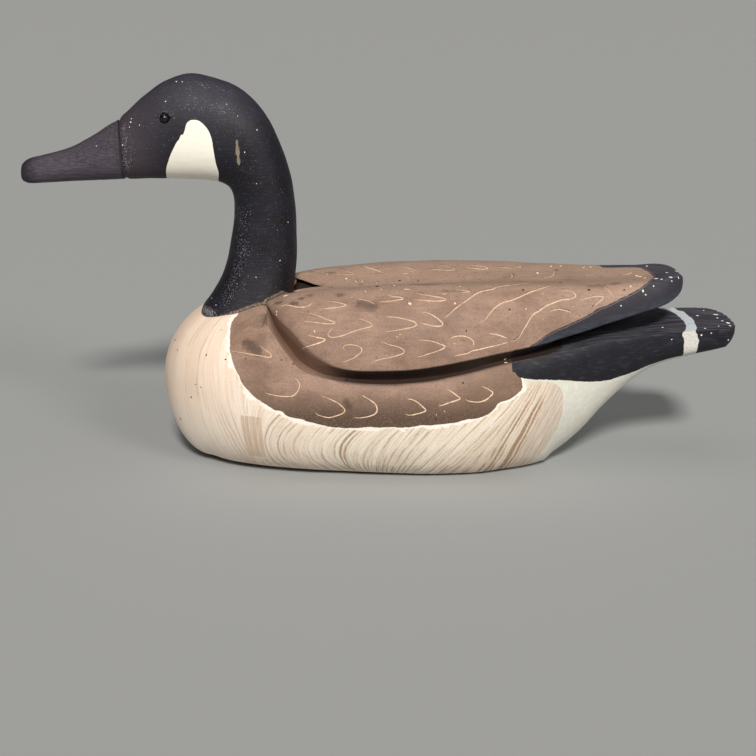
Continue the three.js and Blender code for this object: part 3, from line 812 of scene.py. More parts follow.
def head_half_at(x, z):
    """Half thickness of the head at a point of its side view, by halving the stretch it is in."""
    low, high = 0.0, float(LAST_STATION)
    for _ in range(HALVINGS):
        guess = (low + high) / 2
        middle, reach, *_ = head_section(guess)
        if (x - middle.x) * reach.z - (z - middle.z) * reach.x > 0:
            low = guess
        else:
            high = guess
    middle, reach, half, n, taper = head_section(low)
    up = ((z - middle.z) * reach.z + (x - middle.x) * reach.x) / reach.length_squared
    return half * bulge(up, n) * (1 - taper * up)


eye_x = EYE_ALONG * HEAD_REACH - BILL_OVERHANG + FRONT
eye_z = EYE_UP * STANDING_HEIGHT
eye_face = head_half_at(eye_x, eye_z)
eye_y = eye_face + EYE_STAND_OUT - EYE_RADIUS
print("The face is", round(2 * eye_face / MM, 1), "mm across at the eyes")

# %% Wrap the head
HEAD_ROWS, HEAD_COLUMNS = 230, 58
HEAD_WAVE = 0.25 * MM  # the knife's flats are finer here than on the body
HEAD_PITCH, HEAD_FINE_PITCH = 11 * MM, 4 * MM


def squared(value, n):
    """A sine or cosine for a squared-off circle."""
    return math.copysign(abs(value) ** (2 / n), value)


def head_blank():
    """The head before its foot is cut to fit and its eyes are opened."""
    def place(row, column):
        station = row / HEAD_ROWS * LAST_STATION
        middle, reach, half, n, taper = head_section(station)
        angle = column / HEAD_COLUMNS * math.pi
        up = squared(math.cos(angle), n)
        out = half * squared(math.sin(angle), n) * (1 - taper * up)
        on_middle = column in (0, HEAD_COLUMNS)
        point = middle + reach * up + Vector((0, 0 if on_middle else out, 0))
        flats = taken_off(point, HEAD_PITCH, HEAD_FINE_PITCH)
        point += (middle - point).normalized() * HEAD_WAVE * flats
        point.z = min(point.z, cad_high.z)
        return point

    return new_object("goose_head", mirrored(wrapped(HEAD_ROWS, HEAD_COLUMNS, place)))


head = head_blank()
print("The head has", len(head.data.polygons), "faces")

# %% Seat it on the shoulder and open its eyes
EYE_CORNER_HEIGHT = 0.55 * EYE_RADIUS
SOCKET_SEGMENTS = 48, 32


def ball(side, size, out, segments=SOCKET_SEGMENTS):
    """A ball of size (x, y, z) at one eye's place, at a distance from the bird's middle."""
    bm = bmesh.new()
    bmesh.ops.create_uvsphere(bm, u_segments=segments[0], v_segments=segments[1], radius=1)
    bmesh.ops.scale(bm, verts=bm.verts, vec=size)
    bmesh.ops.translate(bm, verts=bm.verts, vec=(eye_x, side * out, eye_z))
    return bm


joined(head, hull("shoulder_seat", JOINT_GAP), "DIFFERENCE")
joined(head, mantle("wing_seat", JOINT_GAP), "DIFFERENCE")
bead_socket = (EYE_RADIUS + JOINT_GAP,) * 3
eye_corners = (EYE_RADIUS + EYE_CORNER_REACH, EYE_CORNER_DEPTH, EYE_CORNER_HEIGHT)
for side in (1, -1):
    for size, out in ((bead_socket, eye_y), (eye_corners, eye_face)):
        joined(head, new_object("socket", ball(side, size, out)), "DIFFERENCE")

# %% [markdown]
# ## Glass bead eyes
# Each eye is a bead pressed into its socket. A ball is a true sphere on the real thing too, so a
# fine uvsphere is right here, with its back flattened off a little as a cut bead's is.

# %% Two beads
BEAD_SEGMENTS = 64, 48
BEAD_BACK = 0.75 * EYE_RADIUS  # how far behind its centre a bead is flattened off

eyes = {}
for name, side in (("bead_eye_left", -1), ("bead_eye_right", 1)):
    bead = ball(side, (EYE_RADIUS,) * 3, eye_y, BEAD_SEGMENTS)
    back = Vector((eye_x, side * (eye_y - BEAD_BACK), eye_z))
    bmesh.ops.bisect_plane(bead, geom=whole(bead), plane_co=back, plane_no=(0, -side, 0),
                           clear_outer=True)
    eyes[name] = new_object(name, close(bead))
    print(name, len(eyes[name].data.polygons), "faces")

# %% [markdown]
# ## The carver's marks
# The scallops on the wings and flanks and the long feather lines are single strokes of a small
# gouge through the paint into bare wood. Each stroke is a number that says how bright its wood
# is, and then x and y, in pixels of the photograph, of the few points it turns at. A smooth curve
# through the points is sent through the camera to the surface, so the strokes lie on the wood
# itself and hold from any side.

# %% Strokes on the far wing and along the ridge
far_wing_strokes = (
    (0.4, 308, 271, 316, 273, 325, 275.5),
    (0.7, 336, 267.8, 345, 270.8, 354, 273.4, 350, 274.5, 335, 274.8),
    (1, 364, 266.3, 374, 269.5, 384, 272.7), (0.4, 361.5, 273, 368, 273.5),
    (0.4, 372.5, 274.6, 383, 274), (0.8, 354.5, 279.8, 358.5, 283.8), (0.6, 348, 279, 352, 279.4),
    (0.8, 399.3, 266.6, 408.6, 268, 415.7, 270.1, 410, 271.6), (0.9, 402.5, 273.4, 409.5, 273.4),
    (0.7, 403.6, 275.1, 407.1, 276.9, 409.6, 279.4, 408.9, 282.6),
    (0.8, 438.6, 264.8, 444.3, 265.5, 450.7, 267.3, 454.6, 269.1, 449.3, 270.3, 439.3, 269.8,
     426.1, 269.1),
    (0.9, 470, 264.8, 480, 266.2, 485.7, 267.1, 488, 268.4, 482, 269.1, 468.6, 268, 463, 267.6),
    (0.8, 503, 264.4, 512, 265.7, 521.5, 267.1, 512, 267.9, 503, 267.6, 494.5, 267.3),
    (0.6, 532, 265.7, 543.6, 265.7), (0.5, 455.7, 273.7, 460.7, 276.2, 463.9, 278.4, 461.4, 280.5),
    (0.7, 509.6, 273.4, 512.1, 275.1, 511.8, 277.3, 509, 279), (0.5, 504.3, 275.9, 505.9, 278.7),
    (0.8, 554.6, 271.2, 553.9, 274.1, 552.1, 276.2, 547.9, 277.1, 543.6, 277.6),
    (0.7, 586.4, 269.1, 590, 271.6, 593.2, 274.8, 586.4, 275.9),
    (0.8, 631.8, 271.9, 629.3, 273.9, 622.1, 274.8),
    (0.5, 618.9, 277.3, 615.7, 279.4, 610.7, 281.2), (0.5, 622.9, 276.9, 628.6, 278),
    (0.4, 559.3, 278, 567.1, 279.4, 573.6, 280.5, 580, 281.4),
    (0.4, 535, 285, 541, 285.4, 548, 285),
    (0.7, 447.1, 282.3, 451.1, 283.6, 447.9, 285.5, 441.4, 287.4, 432.9, 288),
    (0.8, 476, 279.2, 483.8, 283, 479, 284.3, 472, 285.4, 463.5, 285.5),
    (0.9, 498, 282.3, 503.6, 282.4, 513.6, 282.3, 520, 283),
    (0.8, 455, 289.8, 464.3, 290.5, 470, 291.6, 458.6, 292.6), (0.7, 441.4, 294.4, 447.9, 293),
    (1, 402.9, 289.1, 411.4, 289.4), (0.6, 410.7, 286.5, 415, 286.2),
    (0.4, 392, 289.4, 396.5, 289.3), (0.4, 366.4, 286.6, 374.3, 288.9))

# %% Scallops on the near wing
near_wing_strokes = (
    (0.4, 324, 286.7, 332, 288, 339, 289.3, 330, 290.5, 320.5, 290.8),
    (0.7, 356, 298.4, 364, 299.8, 370, 301.5, 375, 304.3),
    (0.8, 327, 300.7, 336, 302, 342, 303.4, 346.3, 305, 340, 307, 330, 308, 318.5, 309.4),
    (0.9, 278.5, 306.8, 285.5, 305, 291, 305.6, 298, 307, 305, 306.8, 309.8, 305, 311.2, 302.6),
    (0.8, 309, 313, 318, 315.5, 326, 319, 332, 320.8, 335.5, 322.6, 330, 323.8, 323, 323.2,
     312, 322, 304, 321), (0.4, 305, 316.3, 312, 316.8), (0.4, 304.9, 325.2, 309.5, 325.2),
    (0.8, 358.5, 318, 365, 320.4, 369.3, 322.2, 372.5, 325, 371, 326.5, 361, 329, 351, 332.2,
     344, 335, 337, 336.8, 331, 337.2, 328, 334.6, 329.4, 331.8, 332.4, 328.8, 333, 326.5),
    (0.4, 335.2, 330.5, 339.5, 329),
    (1, 307.7, 335, 316.3, 337.1, 324.1, 338.7, 325.2, 339.8, 321.3, 342.1, 312, 345, 304.9, 347.5,
     301.6, 349.3),
    (0.8, 344.9, 350, 343.1, 347.5, 344.9, 345.4, 349.1, 344.6, 354.1, 344.9, 359.5, 346.6,
     362, 348.9, 360.9, 352.1, 357, 355.7, 352, 358.6, 346.3, 360.9, 341.6, 362.1),
    (0.4, 339.6, 346.3, 342, 343.3, 347.7, 341.8), (0.5, 369, 340.5, 369, 344.5),
    (0.8, 387.1, 295.1, 392.1, 296.2, 398.6, 296.9, 403.6, 298.4, 398.6, 299.8, 390.7, 300.9,
     378.6, 301.7),
    (0.9, 415.7, 293, 421.4, 294.2, 426.4, 295.1, 435.7, 296.6, 442.1, 297.9, 446.1, 299.6,
     440.7, 300.8, 430.7, 300.9, 420.7, 300, 412.9, 299.1),
    (0.8, 383.6, 316.6, 392.1, 316.9, 400.7, 318, 407.1, 319.6, 412.9, 321.2, 416.4, 323.4,
     416, 325.5, 413, 327, 407.1, 328.2, 400, 329.6, 390.7, 331.1, 382.9, 331.1),
    (0.9, 422.1, 312.3, 427.1, 312.6, 432.1, 314.8, 437.1, 318, 440.7, 320.9, 442.9, 323.4,
     442.1, 325.5, 437.9, 326.2, 431.4, 325.5, 424.3, 323.7, 419.3, 322.6),
    (0.8, 380, 341.1, 384.3, 342.5, 388.6, 344.4, 394.3, 345.7, 400, 347.5, 404.3, 350.4,
     403.6, 352.9, 398.6, 355, 390.7, 357.1, 382.1, 358.9, 375.7, 360.7, 370, 363.6),
    (0.9, 419.3, 339.9, 426.4, 340.4, 434.3, 341.8, 440, 343.9, 445.5, 346.4, 442.9, 348.6,
     436.4, 351.4, 428.6, 353.9, 421.4, 356.1, 416.4, 357.1),
    (0.9, 450, 338.2, 455, 336.5, 462, 335.8, 468, 337.2, 472.3, 339.7, 474, 343, 472.8, 345.8),
    (0.9, 453.6, 355.9, 460, 354.7, 467.9, 353.2, 472.1, 350.9, 479.6, 349.3, 487.9, 347.1,
     495, 345.7, 500.7, 344.3, 505, 342.9, 508.4, 342),
    (0.9, 488.9, 333.6, 496.4, 334.3, 502.1, 336.1, 507.9, 338.6))

# %% Long feather lines behind them
feather_strokes = (
    (0.9, 444.3, 318.7, 445.7, 316.9, 450, 313.7, 455, 309, 462.1, 303.4, 468.6, 299.3,
     474.3, 294.8, 479.3, 292.3, 485.7, 290.5, 492.9, 289.1, 496.4, 287.3, 505, 285.7,
     514.3, 284.6, 522.9, 283.7, 528.6, 282.9, 532.1, 281.6),
    (0.9, 480, 322.6, 485, 319.8, 488.6, 315.1, 492.9, 309.8, 497.9, 305.5, 503.6, 302.4,
     510, 300.7, 515.7, 298.7, 522.9, 295.5, 530, 292.3, 536.4, 290.1, 544.3, 287.6, 550, 286.1,
     553.6, 285),
    (0.9, 512, 340.8, 515, 340, 520, 336.4, 522.9, 330.7, 526.4, 325.4, 530, 319, 533.6, 314.1,
     539.3, 310.9, 542.5, 308.4, 547.1, 305.5, 551.4, 303.7, 556.4, 301.6, 562.1, 299.8,
     567.1, 299.3, 573.6, 298, 576, 295.8, 574.6, 293.7, 572.1, 291.6, 567.1, 290.7, 560, 290.5),
    (0.8, 549.3, 311.6, 554, 309.8, 560, 309.3, 565.7, 310.5, 570, 311.9, 572.9, 313.4),
    (0.8, 579, 300.1, 583.2, 299.3, 588, 298, 594.3, 296.6, 600, 296.2, 604, 296.8, 601.4, 300.1,
     597.1, 303.4, 592.1, 308), (0.7, 603.9, 285.9, 607.1, 288.7, 610.7, 293, 613.9, 296.9),
    (0.4, 599, 291.3, 603, 292.8, 607, 294.3), (0.6, 542.5, 316.6, 543.6, 320))

# %% Crescents along the flank
flank_strokes = (
    (0.8, 259.3, 344.6, 264.3, 349.3, 269.3, 352.5, 271.4, 355.7, 269.3, 357.5, 262.9, 356.1,
     255, 354.9, 248.6, 353.7, 240, 352.1, 230.7, 351.1), (0.5, 270.1, 360, 270.1, 363.9),
    (0.9, 294.6, 378.2, 297.9, 380.7, 299.6, 384.3, 298.6, 389.3, 295.7, 393.6, 292.9, 395.7,
     287.9, 396.4, 280.7, 396.1, 273.6, 395, 267.9, 393.7, 264.6, 392.1),
    (0.9, 320.4, 397.4, 323.6, 396.6, 330, 399.1, 337.1, 402.5, 342.1, 406.4, 345, 410.4,
     342.1, 413.6, 336.4, 415.7, 329.3, 417.5, 322.9, 416.4, 317.1, 414.3, 315, 411.4),
    (1, 361.5, 395, 366, 397.5, 372, 401.2, 376, 405, 377.2, 409.5, 375.5, 413.5, 370, 416,
     363, 417.5, 356, 417.8, 353, 416.8),
    (1, 407, 399, 412, 399.5, 418, 402.5, 423, 407, 426, 410.2, 422, 412.5, 416, 414, 410, 415.2,
     404.5, 414),
    (1, 446.5, 388.5, 453, 392.5, 457.5, 396, 460.5, 398.5, 455, 400.8, 448, 403, 443, 405,
     437.5, 406),
    (1, 481.2, 386.2, 486, 388, 490.5, 390.5, 493, 393, 490, 396.5, 486, 399.8, 480, 401.8,
     474, 401.8, 468, 400.8, 464.5, 398.5))
all_strokes = far_wing_strokes + near_wing_strokes + feather_strokes + flank_strokes
print(len(all_strokes), "strokes")

# %% [markdown]
# ## Chips, pits and scratches
# Where the paint has flaked off, a flat chip shows the pale ground under it. These are small
# balls sunk a little way into the surface and cut out, which leaves a real dent with a clean lip.
# Each is a place in the photograph, its width in pixels and how pale it is. Pits are the same
# dents full of dirt. The head also has two scratches over the eye and a bare strip behind the
# cheek, and right behind the neck the wings leave a hollow, whose walls take the pits' dark tone
# as painted shade.

# %% Chips on wings, tips and tail
body_chips = (
    (285.9, 295.7, 3.4, 1), (276.6, 311.6, 2.2, 0.9), (276.6, 314.6, 2, 0.8),
    (346.3, 278.7, 2.8, 1), (362.7, 281.4, 1.8, 0.9), (327.4, 273.6, 1.8, 0.8),
    (365.6, 291.3, 1.8, 0.9), (351.9, 297.3, 1.8, 0.8), (314.7, 331.3, 2.6, 1),
    (376.4, 283, 1.8, 0.9), (381.3, 289.4, 1.8, 0.8), (394.3, 285.3, 1.8, 0.9),
    (459.9, 286.2, 1.8, 0.8), (410.1, 303.6, 4.6, 1), (455, 303.4, 3, 1), (400.1, 334.2, 2, 1),
    (397.1, 336.6, 2, 0.9), (454.6, 343.4, 2, 1), (537.7, 273.1, 3, 1), (542.9, 293.6, 2, 0.9),
    (525.8, 308.6, 2.4, 1), (573.2, 306.7, 2, 0.9), (577.9, 316.4, 2, 0.8), (583.7, 267.5, 2, 0.9),
    (551, 266.4, 2.4, 0.9), (560.7, 266, 2.2, 0.9), (590.7, 267, 2.2, 0.9), (637, 275.8, 3.2, 1),
    (640.5, 276.6, 3, 1), (645, 277.8, 2.4, 0.9), (630.6, 286.2, 2.8, 1), (505.2, 359, 2.6, 1),
    (506, 362.6, 2.6, 1), (444.5, 411.3, 1.8, 0.9), (436.5, 414.6, 1.8, 0.9), (646.9, 266, 2, 0.9),
    (643, 290.8, 3.4, 0.9), (645.7, 294.6, 2.4, 0.8), (656.4, 278.6, 2.6, 1),
    (661.6, 279.2, 2, 0.8), (670.7, 277.2, 3, 1), (671.8, 281, 1.8, 0.8), (678.4, 277.6, 2.2, 1),
    (667.1, 272.6, 2, 0.5), (676.6, 271.2, 2, 0.8), (653.6, 286, 2.4, 0.6), (621.1, 305.6, 2.2, 2),
    (671.8, 339.4, 2, 0.8), (697.6, 315.6, 2, 0.9), (715.9, 314.6, 3.2, 1), (728.1, 322.8, 3, 1),
    (730.3, 325.8, 2, 0.9), (718.8, 326.2, 2, 0.9), (722.5, 320.8, 1.8, 0.8), (711.3, 333, 2, 0.9),
    (701.6, 334.9, 2.6, 0.6), (705, 328.3, 1.8, 0.8), (662.8, 327.3, 1.8, 0.7),
    (703.8, 310.4, 1.8, 0.8), (717.5, 317.9, 1.8, 0.8), (728.4, 339.9, 1.8, 0.8))
print(len(body_chips), "chips")

# %% Pits on the body and the hollow behind the neck
body_pits = (
    (588.9, 289.8, 3.4), (523.2, 289.9, 2.6), (509.6, 309.6, 2.6), (560.7, 282.9, 2.6),
    (556.4, 270.1, 2.2), (624.3, 289.8, 2.4), (377.1, 286.4, 3), (399.6, 280.5, 2.4),
    (463, 383, 2.4), (436, 419, 2), (293.3, 364, 2.2), (281.5, 360, 2.2), (245.7, 358.7, 2),
    (346.5, 380, 3.2), (398, 380, 3), (206.2, 355, 2.4), (225.5, 359.5, 2.4), (191.1, 397.2, 2.4),
    (177.4, 350, 1.8), (175, 340, 1.8), (200.8, 387.2, 1.8), (195.6, 384.4, 1.6), (221, 330, 1.6),
    (180.5, 419, 2), (418, 281, 1.8), (466.4, 331, 2.2))
hollow = (
    293, 277, 304, 280.5, 314, 284.2, 322.5, 286.3, 313, 287.2, 304, 288.4, 293, 290.6)
print(len(body_pits), "pits")

# %% Chips, scratches and the bare strip on the head
head_chips = (
    (165.6, 101.4, 1.8, 1), (130.7, 122, 2.2, 1), (131.4, 118.6, 1.6, 0.9),
    (129.5, 127.1, 1.6, 0.8), (139.4, 125, 1.6, 0.8), (122.5, 145, 1.8, 0.8), (257, 129.8, 1.8, 1),
    (237.7, 116, 1.6, 0.5), (244.7, 152, 1.8, 0.8), (226.6, 104, 1.6, 0.6), (176.4, 81.6, 2, 0.9),
    (182.3, 81.8, 1.8, 0.8), (256.5, 183.4, 1.6, 0.5), (96.5, 146, 1.6, 0.7),
    (280, 260.5, 1.6, 0.8), (256, 277, 1.6, 0.7), (288, 222, 1.6, 0.8), (211.7, 298, 1.8, 0.8),
    (216, 305, 1.6, 0.7))
lid_lines = (
    (153.5, 119.6, 156, 118, 158.5, 116.7, 160.3, 115.6),
    (160.5, 113.6, 163, 112.6, 166, 112.4, 169, 113.2, 171.5, 114.6))
bare_strip = (
    236.8, 139, 237.1, 145, 237.5, 150, 238, 155, 238.7, 161, 239, 166)
print(len(head_chips), "chips on the head")

# %% [markdown]
# ## Cutting the marks
# A gouge stroke is cut by a sliver shaped like the wood it clears: a grid wrapped to a V with a
# rounded bottom, which comes out of the surface at both ends. All the slivers are taken off in
# one Boolean, and since they carry the bare wood's material and a number for its tone, the cut
# faces come out bare. Strokes that the photograph can't show are mirrored to the far side,
# shifted a little and cut shallower.

# %% Curves on the surface
STROKE_STEP = 1.0 * MM
PIXEL_STEP = 0.8  # how close the rays through a line of the photograph stand, in pixels
FINE_STEPS = 12  # between two points of a curve
LEAP = 12 * MM  # a ray that lands farther on has missed the part that was meant


def paired(numbers):
    """Points from a run of numbers x, y, x, y and so on."""
    return list(zip(numbers[::2], numbers[1::2]))


def smooth_line(points, step):
    """Even steps along a smooth curve through a few points of any dimension."""
    points = [np.array(point, float) for point in points]
    columns = list(zip(*points))
    fine = [np.array([through(column, place / FINE_STEPS) for column in columns])
            for place in range(FINE_STEPS * (len(points) - 1) + 1)]
    steps = [np.linalg.norm(b - a) for a, b in zip(fine, fine[1:])]
    walked = np.concatenate([[0], np.cumsum(steps)])
    count = max(2, round(walked[-1] / step) + 1)
    return [np.array([np.interp(at, walked, column) for column in zip(*fine)])
            for at in np.linspace(0, walked[-1], count)]


def on_surface(tree, pixels, step=STROKE_STEP):
    """Where a line drawn on the photograph lies on the wood: its points and their normals."""
    found = []
    for x, y in smooth_line(paired(pixels), PIXEL_STEP):
        place, normal, *_ = tree.ray_cast(CAMERA_PLACE, photo_ray(x, y))
        if place is not None and (not found or (place - found[-1]).length < LEAP):
            found.append(place)
    if len(found) < 2:
        return []
    line = [Vector(point) for point in smooth_line(found, step)]
    return [(point, tree.find_nearest(point)[1]) for point in line]


# %% A sliver for one stroke
GOUGE_WIDTH = 1.0 * MM
GOUGE_DEPTH = 0.45 * MM
GOUGE_SECTION = ((0.62, 0.6), (0.36, -0.7), (0, -1), (-0.36, -0.7), (-0.62, 0.6))
BLUNT_ENDS = 0.4  # below 1 a stroke is soon at its full width
UNEVEN_PITCH = 1.7 * MM
END_LIFT = 0.12 * MM  # both ends come out of the surface by this


def give_tone(bm, vertices, tone):
    """Writes how bright the wood is on all faces round some vertices."""
    tones = bm.faces.layers.float["tone"]
    for face in {face for vertex in vertices for face in vertex.link_faces}:
        face[tones] = tone


def gouge(bm, line, tone, width=GOUGE_WIDTH, depth=GOUGE_DEPTH):
    """Adds the sliver of one stroke along a line on the surface."""
    rows, columns = len(line) - 1, len(GOUGE_SECTION)

    def place(row, column):
        point, normal = line[row]
        ahead = line[min(rows, row + 1)][0] - line[max(0, row - 1)][0]
        aside = normal.cross(ahead).normalized()
        swell = math.sin(math.pi * row / rows) ** BLUNT_ENDS if 0 < row < rows else 0
        swell *= 0.78 + 0.5 * noise.noise(point / UNEVEN_PITCH)
        out, up = GOUGE_SECTION[column % columns]
        lift = END_LIFT if swell == 0 else depth * up * (0.55 + 0.45 * swell)
        return point + aside * out * width * swell + normal * lift

    give_tone(bm, bent_grid(bm, rows, columns, place), tone)


# %% A ball for a chip and a block for the hollow
CHIP_DEPTH = 0.5 * MM
CHIP_NARROW = 0.36  # a chip's half width across its length, as a share of its width
CHIP_TURN = 900  # radians for each metre along the bird, so that no two lie alike
MISSHAPEN = 0.3
BLOCK_LEAD = 0.5 * MM  # a block starts this far outside the surface


def chip(bm, place, normal, width, tone):
    """Adds a squashed ball sunk into the surface, turned and misshapen its own way."""
    made = bmesh.ops.create_icosphere(bm, subdivisions=2, radius=1)["verts"]
    for vertex in made:
        vertex.co *= 1 + MISSHAPEN * noise.noise(vertex.co * 1.3 + place * 700)
    turn = Matrix.Rotation(place.x * CHIP_TURN, 4, "Z")
    onto_surface = normal.to_track_quat("Z", "Y").to_matrix().to_4x4() @ turn
    bmesh.ops.scale(bm, verts=made, vec=(width / 2, CHIP_NARROW * width, CHIP_DEPTH))
    bmesh.ops.transform(bm, verts=made, matrix=Matrix.Translation(place) @ onto_surface)
    give_tone(bm, made, tone)


def block_behind(bm, tree, pixels, depth, tone):
    """Adds a straight-sided cutter behind an outline drawn on the photograph."""
    corners = paired(pixels)
    ring = bmesh.ops.create_circle(bm, cap_ends=True, segments=len(corners), radius=1)["verts"]
    for vertex, (x, y) in zip(ring, corners):
        ray = photo_ray(x, y)
        vertex.co = tree.ray_cast(CAMERA_PLACE, ray)[0] - BLOCK_LEAD * ray
    cap = next(iter({face for vertex in ring for face in vertex.link_faces}))
    back = drawn_out(bm, [cap], (depth + BLOCK_LEAD) * photo_ray(*corners[0]), keep=True)
    give_tone(bm, ring + back, tone)


# %% Collect the cutters and take them off
def cutters():
    """An empty mesh whose faces carry a tone."""
    bm = bmesh.new()
    bm.faces.layers.float.new("tone")
    return bm


def cut_marks(piece, bm):
    """Takes all the cutters off a piece, leaving bare wood (the second material) in the cuts."""
    for face in bm.faces:
        face.material_index = 1
    piece.data.materials.clear()
    for name in ("paint", "bare_wood"):
        if name not in bpy.data.materials:
            bpy.data.materials.new(name)
        piece.data.materials.append(bpy.data.materials[name])
    cutter = new_object("cutters", close(bm))
    for material in piece.data.materials:
        cutter.data.materials.append(material)
    return joined(piece, cutter, "DIFFERENCE")


body_surface = surface_of(body)
body_cutters = cutters()
for tone, *pixels in all_strokes:
    line = on_surface(body_surface, pixels)
    if len(line) > 2:
        gouge(body_cutters, line, tone, GOUGE_WIDTH * (0.55 + 0.45 * tone))
print("The visible strokes' slivers have", len(body_cutters.faces), "faces")

# %% The same strokes on the hidden side
SHIFT_ASTERN = 3.5 * MM  # how far the hidden side's marks are moved back
WANDER_MM = 4  # and how far they stray from a true mirror image
STRAY_ALONG, STRAY_UP = 30 * MM, 26 * MM  # over what distance that changes
ELSEWHERE = Vector((9, 9, 9))
RIDGE_CLEAR = 30 * MM  # strokes nearer to the ridge than this are already in the photograph
FAINTER, HIDDEN_WIDTH, HIDDEN_DEPTH = 0.8, 0.9 * GOUGE_WIDTH, 0.8 * GOUGE_DEPTH


def wandering(point):
    """A slow shift, so that the hidden side isn't a true mirror image."""
    along = noise.noise(point / STRAY_ALONG)
    up = noise.noise(point / STRAY_UP + ELSEWHERE)
    return Vector((along, 0, up)) * WANDER_MM * MM


for tone, *pixels in near_wing_strokes[3:] + feather_strokes[2:4] + flank_strokes:
    line = on_surface(body_surface, pixels)
    hidden = []
    for point, _ in line:
        across = point + wandering(point) + Vector((SHIFT_ASTERN, 0, 0))
        across.y = -point.y
        place, normal, *_ = body_surface.find_nearest(across)
        hidden.append((place, normal))
    clear_of_ridge = all(place.y > RIDGE_CLEAR for place, _ in hidden)
    if len(hidden) > 2 and clear_of_ridge:
        gouge(body_cutters, hidden, FAINTER * tone, HIDDEN_WIDTH, HIDDEN_DEPTH)
print("With the hidden side's they have", len(body_cutters.faces))

# %% [markdown]
# ## Chipping the paint
# A chip looks narrower where the surface turns away from the camera, so it is cut wider there. Its
# tone says what it bares: dirt in a pit, a white ground under the black paint, and weathered grey
# wood in the strip on the neck.

# %% Cut the body's strokes, chips, pits and hollow
PIXEL = 0.643 * MM  # what one pixel of the photograph spans on the bird's middle plane
DIRT_AND_SHADE_TONE, GROUND_TONE, WEATHERED_TONE = -1.0, 2.0, 3.0
BLACK_FROM = 641  # right of this column the body is all black
CHIP_SIZE = 0.8
MOST_SLANT = 0.2  # beyond this slant a chip grows no wider
HOLLOW_DEPTH = 7 * MM

for x, y, width, tone in body_chips + tuple((*pit, DIRT_AND_SHADE_TONE) for pit in body_pits):
    place, normal, *_ = body_surface.ray_cast(CAMERA_PLACE, photo_ray(x, y))
    if place is not None:
        facing = abs(normal @ photo_ray(x, y))
        size = CHIP_SIZE * width * PIXEL / math.sqrt(max(facing, MOST_SLANT))
        chip(body_cutters, place, normal, size, GROUND_TONE if x > BLACK_FROM else tone)
# The hollow's walls take the pits' dark tone: painted shade between the wings behind the neck.
block_behind(body_cutters, body_surface, hollow, HOLLOW_DEPTH, DIRT_AND_SHADE_TONE)
cut_marks(body, body_cutters)

# %% Cut the head's chips, the bare strip and the scratches over the eye
STRIP_WIDTH, STRIP_DEPTH = 2.8 * MM, 0.4 * MM
SCRATCH_WIDTH, SCRATCH_DEPTH = 0.5 * MM, 0.2 * MM

head_surface = surface_of(head)
head_cutters = cutters()
for x, y, width, tone in head_chips:
    place, normal, *_ = head_surface.ray_cast(CAMERA_PLACE, photo_ray(x, y))
    if place is not None:
        chip(head_cutters, place, normal, (0.6 + 0.3 * tone) * width * PIXEL, GROUND_TONE)
strip = on_surface(head_surface, bare_strip)
gouge(head_cutters, strip, WEATHERED_TONE, STRIP_WIDTH, STRIP_DEPTH)
for lid_line in lid_lines:
    line = on_surface(head_surface, lid_line)
    gouge(head_cutters, line, DIRT_AND_SHADE_TONE, SCRATCH_WIDTH, SCRATCH_DEPTH)
cut_marks(head, head_cutters)

# %% [markdown]
# ## Where each paint ends
# The colours meet in lines that the painter drew by hand: round the flank, along the tail, across
# the wing tips, about the cheek. Each line is traced on the surface like a gouge stroke. Every
# point of the mesh then stores how far it is from that line in millimetres, positive on the
# line's left. A material can turn such a number into an edge as sharp or as ragged as it likes,
# and the number follows the form from any side.

# %% Distances and stains on the surface
PAINT_STEP = 1.6 * MM


def points_of(piece):
    """The places of all the piece's points, one to a row."""
    places = np.zeros(3 * len(piece.data.vertices))
    piece.data.vertices.foreach_get("co", places)
    return places.reshape(-1, 3)


def wave(places, high, long, start=0):
    """A sine wave over some places, with its height and its length over 2 pi in millimetres."""
    return high * MM * np.sin(places / (long * MM) + start)


def folded(points):
    """Brings both sides of the bird to the side in the photograph, where the lines are drawn."""
    near = points.copy()
    far = near[:, 1] > 0
    near[far, 0] += wave(near[far, 2], 1.2, 9) + wave(near[far, 0], 1.0, 13)
    near[far, 2] += wave(near[far, 0], 1.0, 11, 1)
    near[:, 1] = -np.abs(near[:, 1])
    return near


def nearest_on(points, places):
    """Each point's distance and offset from a line of places, and the stretch it is next to."""
    best = np.full(len(points), 1e9)
    offset = np.zeros_like(points)
    stretch = np.zeros(len(points), int)
    if len(places) == 1:
        offset = points - places[0]
        return np.linalg.norm(offset, axis=1), offset, stretch
    for i, (start, run) in enumerate(zip(places, np.diff(places, axis=0))):
        along = np.clip((points - start) @ run / max(run @ run, 1e-12), 0, 1)
        away = points - start - along[:, None] * run
        gap = np.einsum("ij,ij->i", away, away)
        closer = gap < best
        best[closer] = gap[closer]
        offset[closer] = away[closer]
        stretch[closer] = i
    return np.sqrt(best), offset, stretch


def signed_distance(points, line):
    """Millimetres from a line on the surface, positive on its left as seen from outside."""
    places = np.array([place for place, _ in line])
    normals = np.array([normal for _, normal in line])
    aside = np.cross((normals[:-1] + normals[1:]) / 2, np.diff(places, axis=0))
    distance, offset, stretch = nearest_on(points, places)
    return np.copysign(distance, np.einsum("ij,ij->i", offset, aside[stretch])) / MM


def stained(points, tree, stains):
    """How strongly soft stains cover each point, from 0 to 1.

    A stain is its radius in pixels, its strength, and a point or line of the photograph.
    """
    total = np.zeros(len(points))
    for radius, strength, *pixels in stains:
        if len(pixels) > 2:
            line = on_surface(tree, pixels, PAINT_STEP)
        else:
            place, normal, *_ = tree.ray_cast(CAMERA_PLACE, photo_ray(*pixels))
            line = [(place, normal)] if place else []
        if line:
            distance, *_ = nearest_on(points, np.array([place for place, _ in line]))
            total = np.maximum(total, strength * np.exp(-(distance / (radius * PIXEL)) ** 2))
    return total


def write(piece, **fields):
    """Stores one number for every point of the piece under each name."""
    for name, values in fields.items():
        layer = piece.data.attributes.new(name, "FLOAT", "POINT")
        layer.data.foreach_set("value", np.asarray(values, np.float32))
    print(piece.name, "carries", ", ".join(fields))


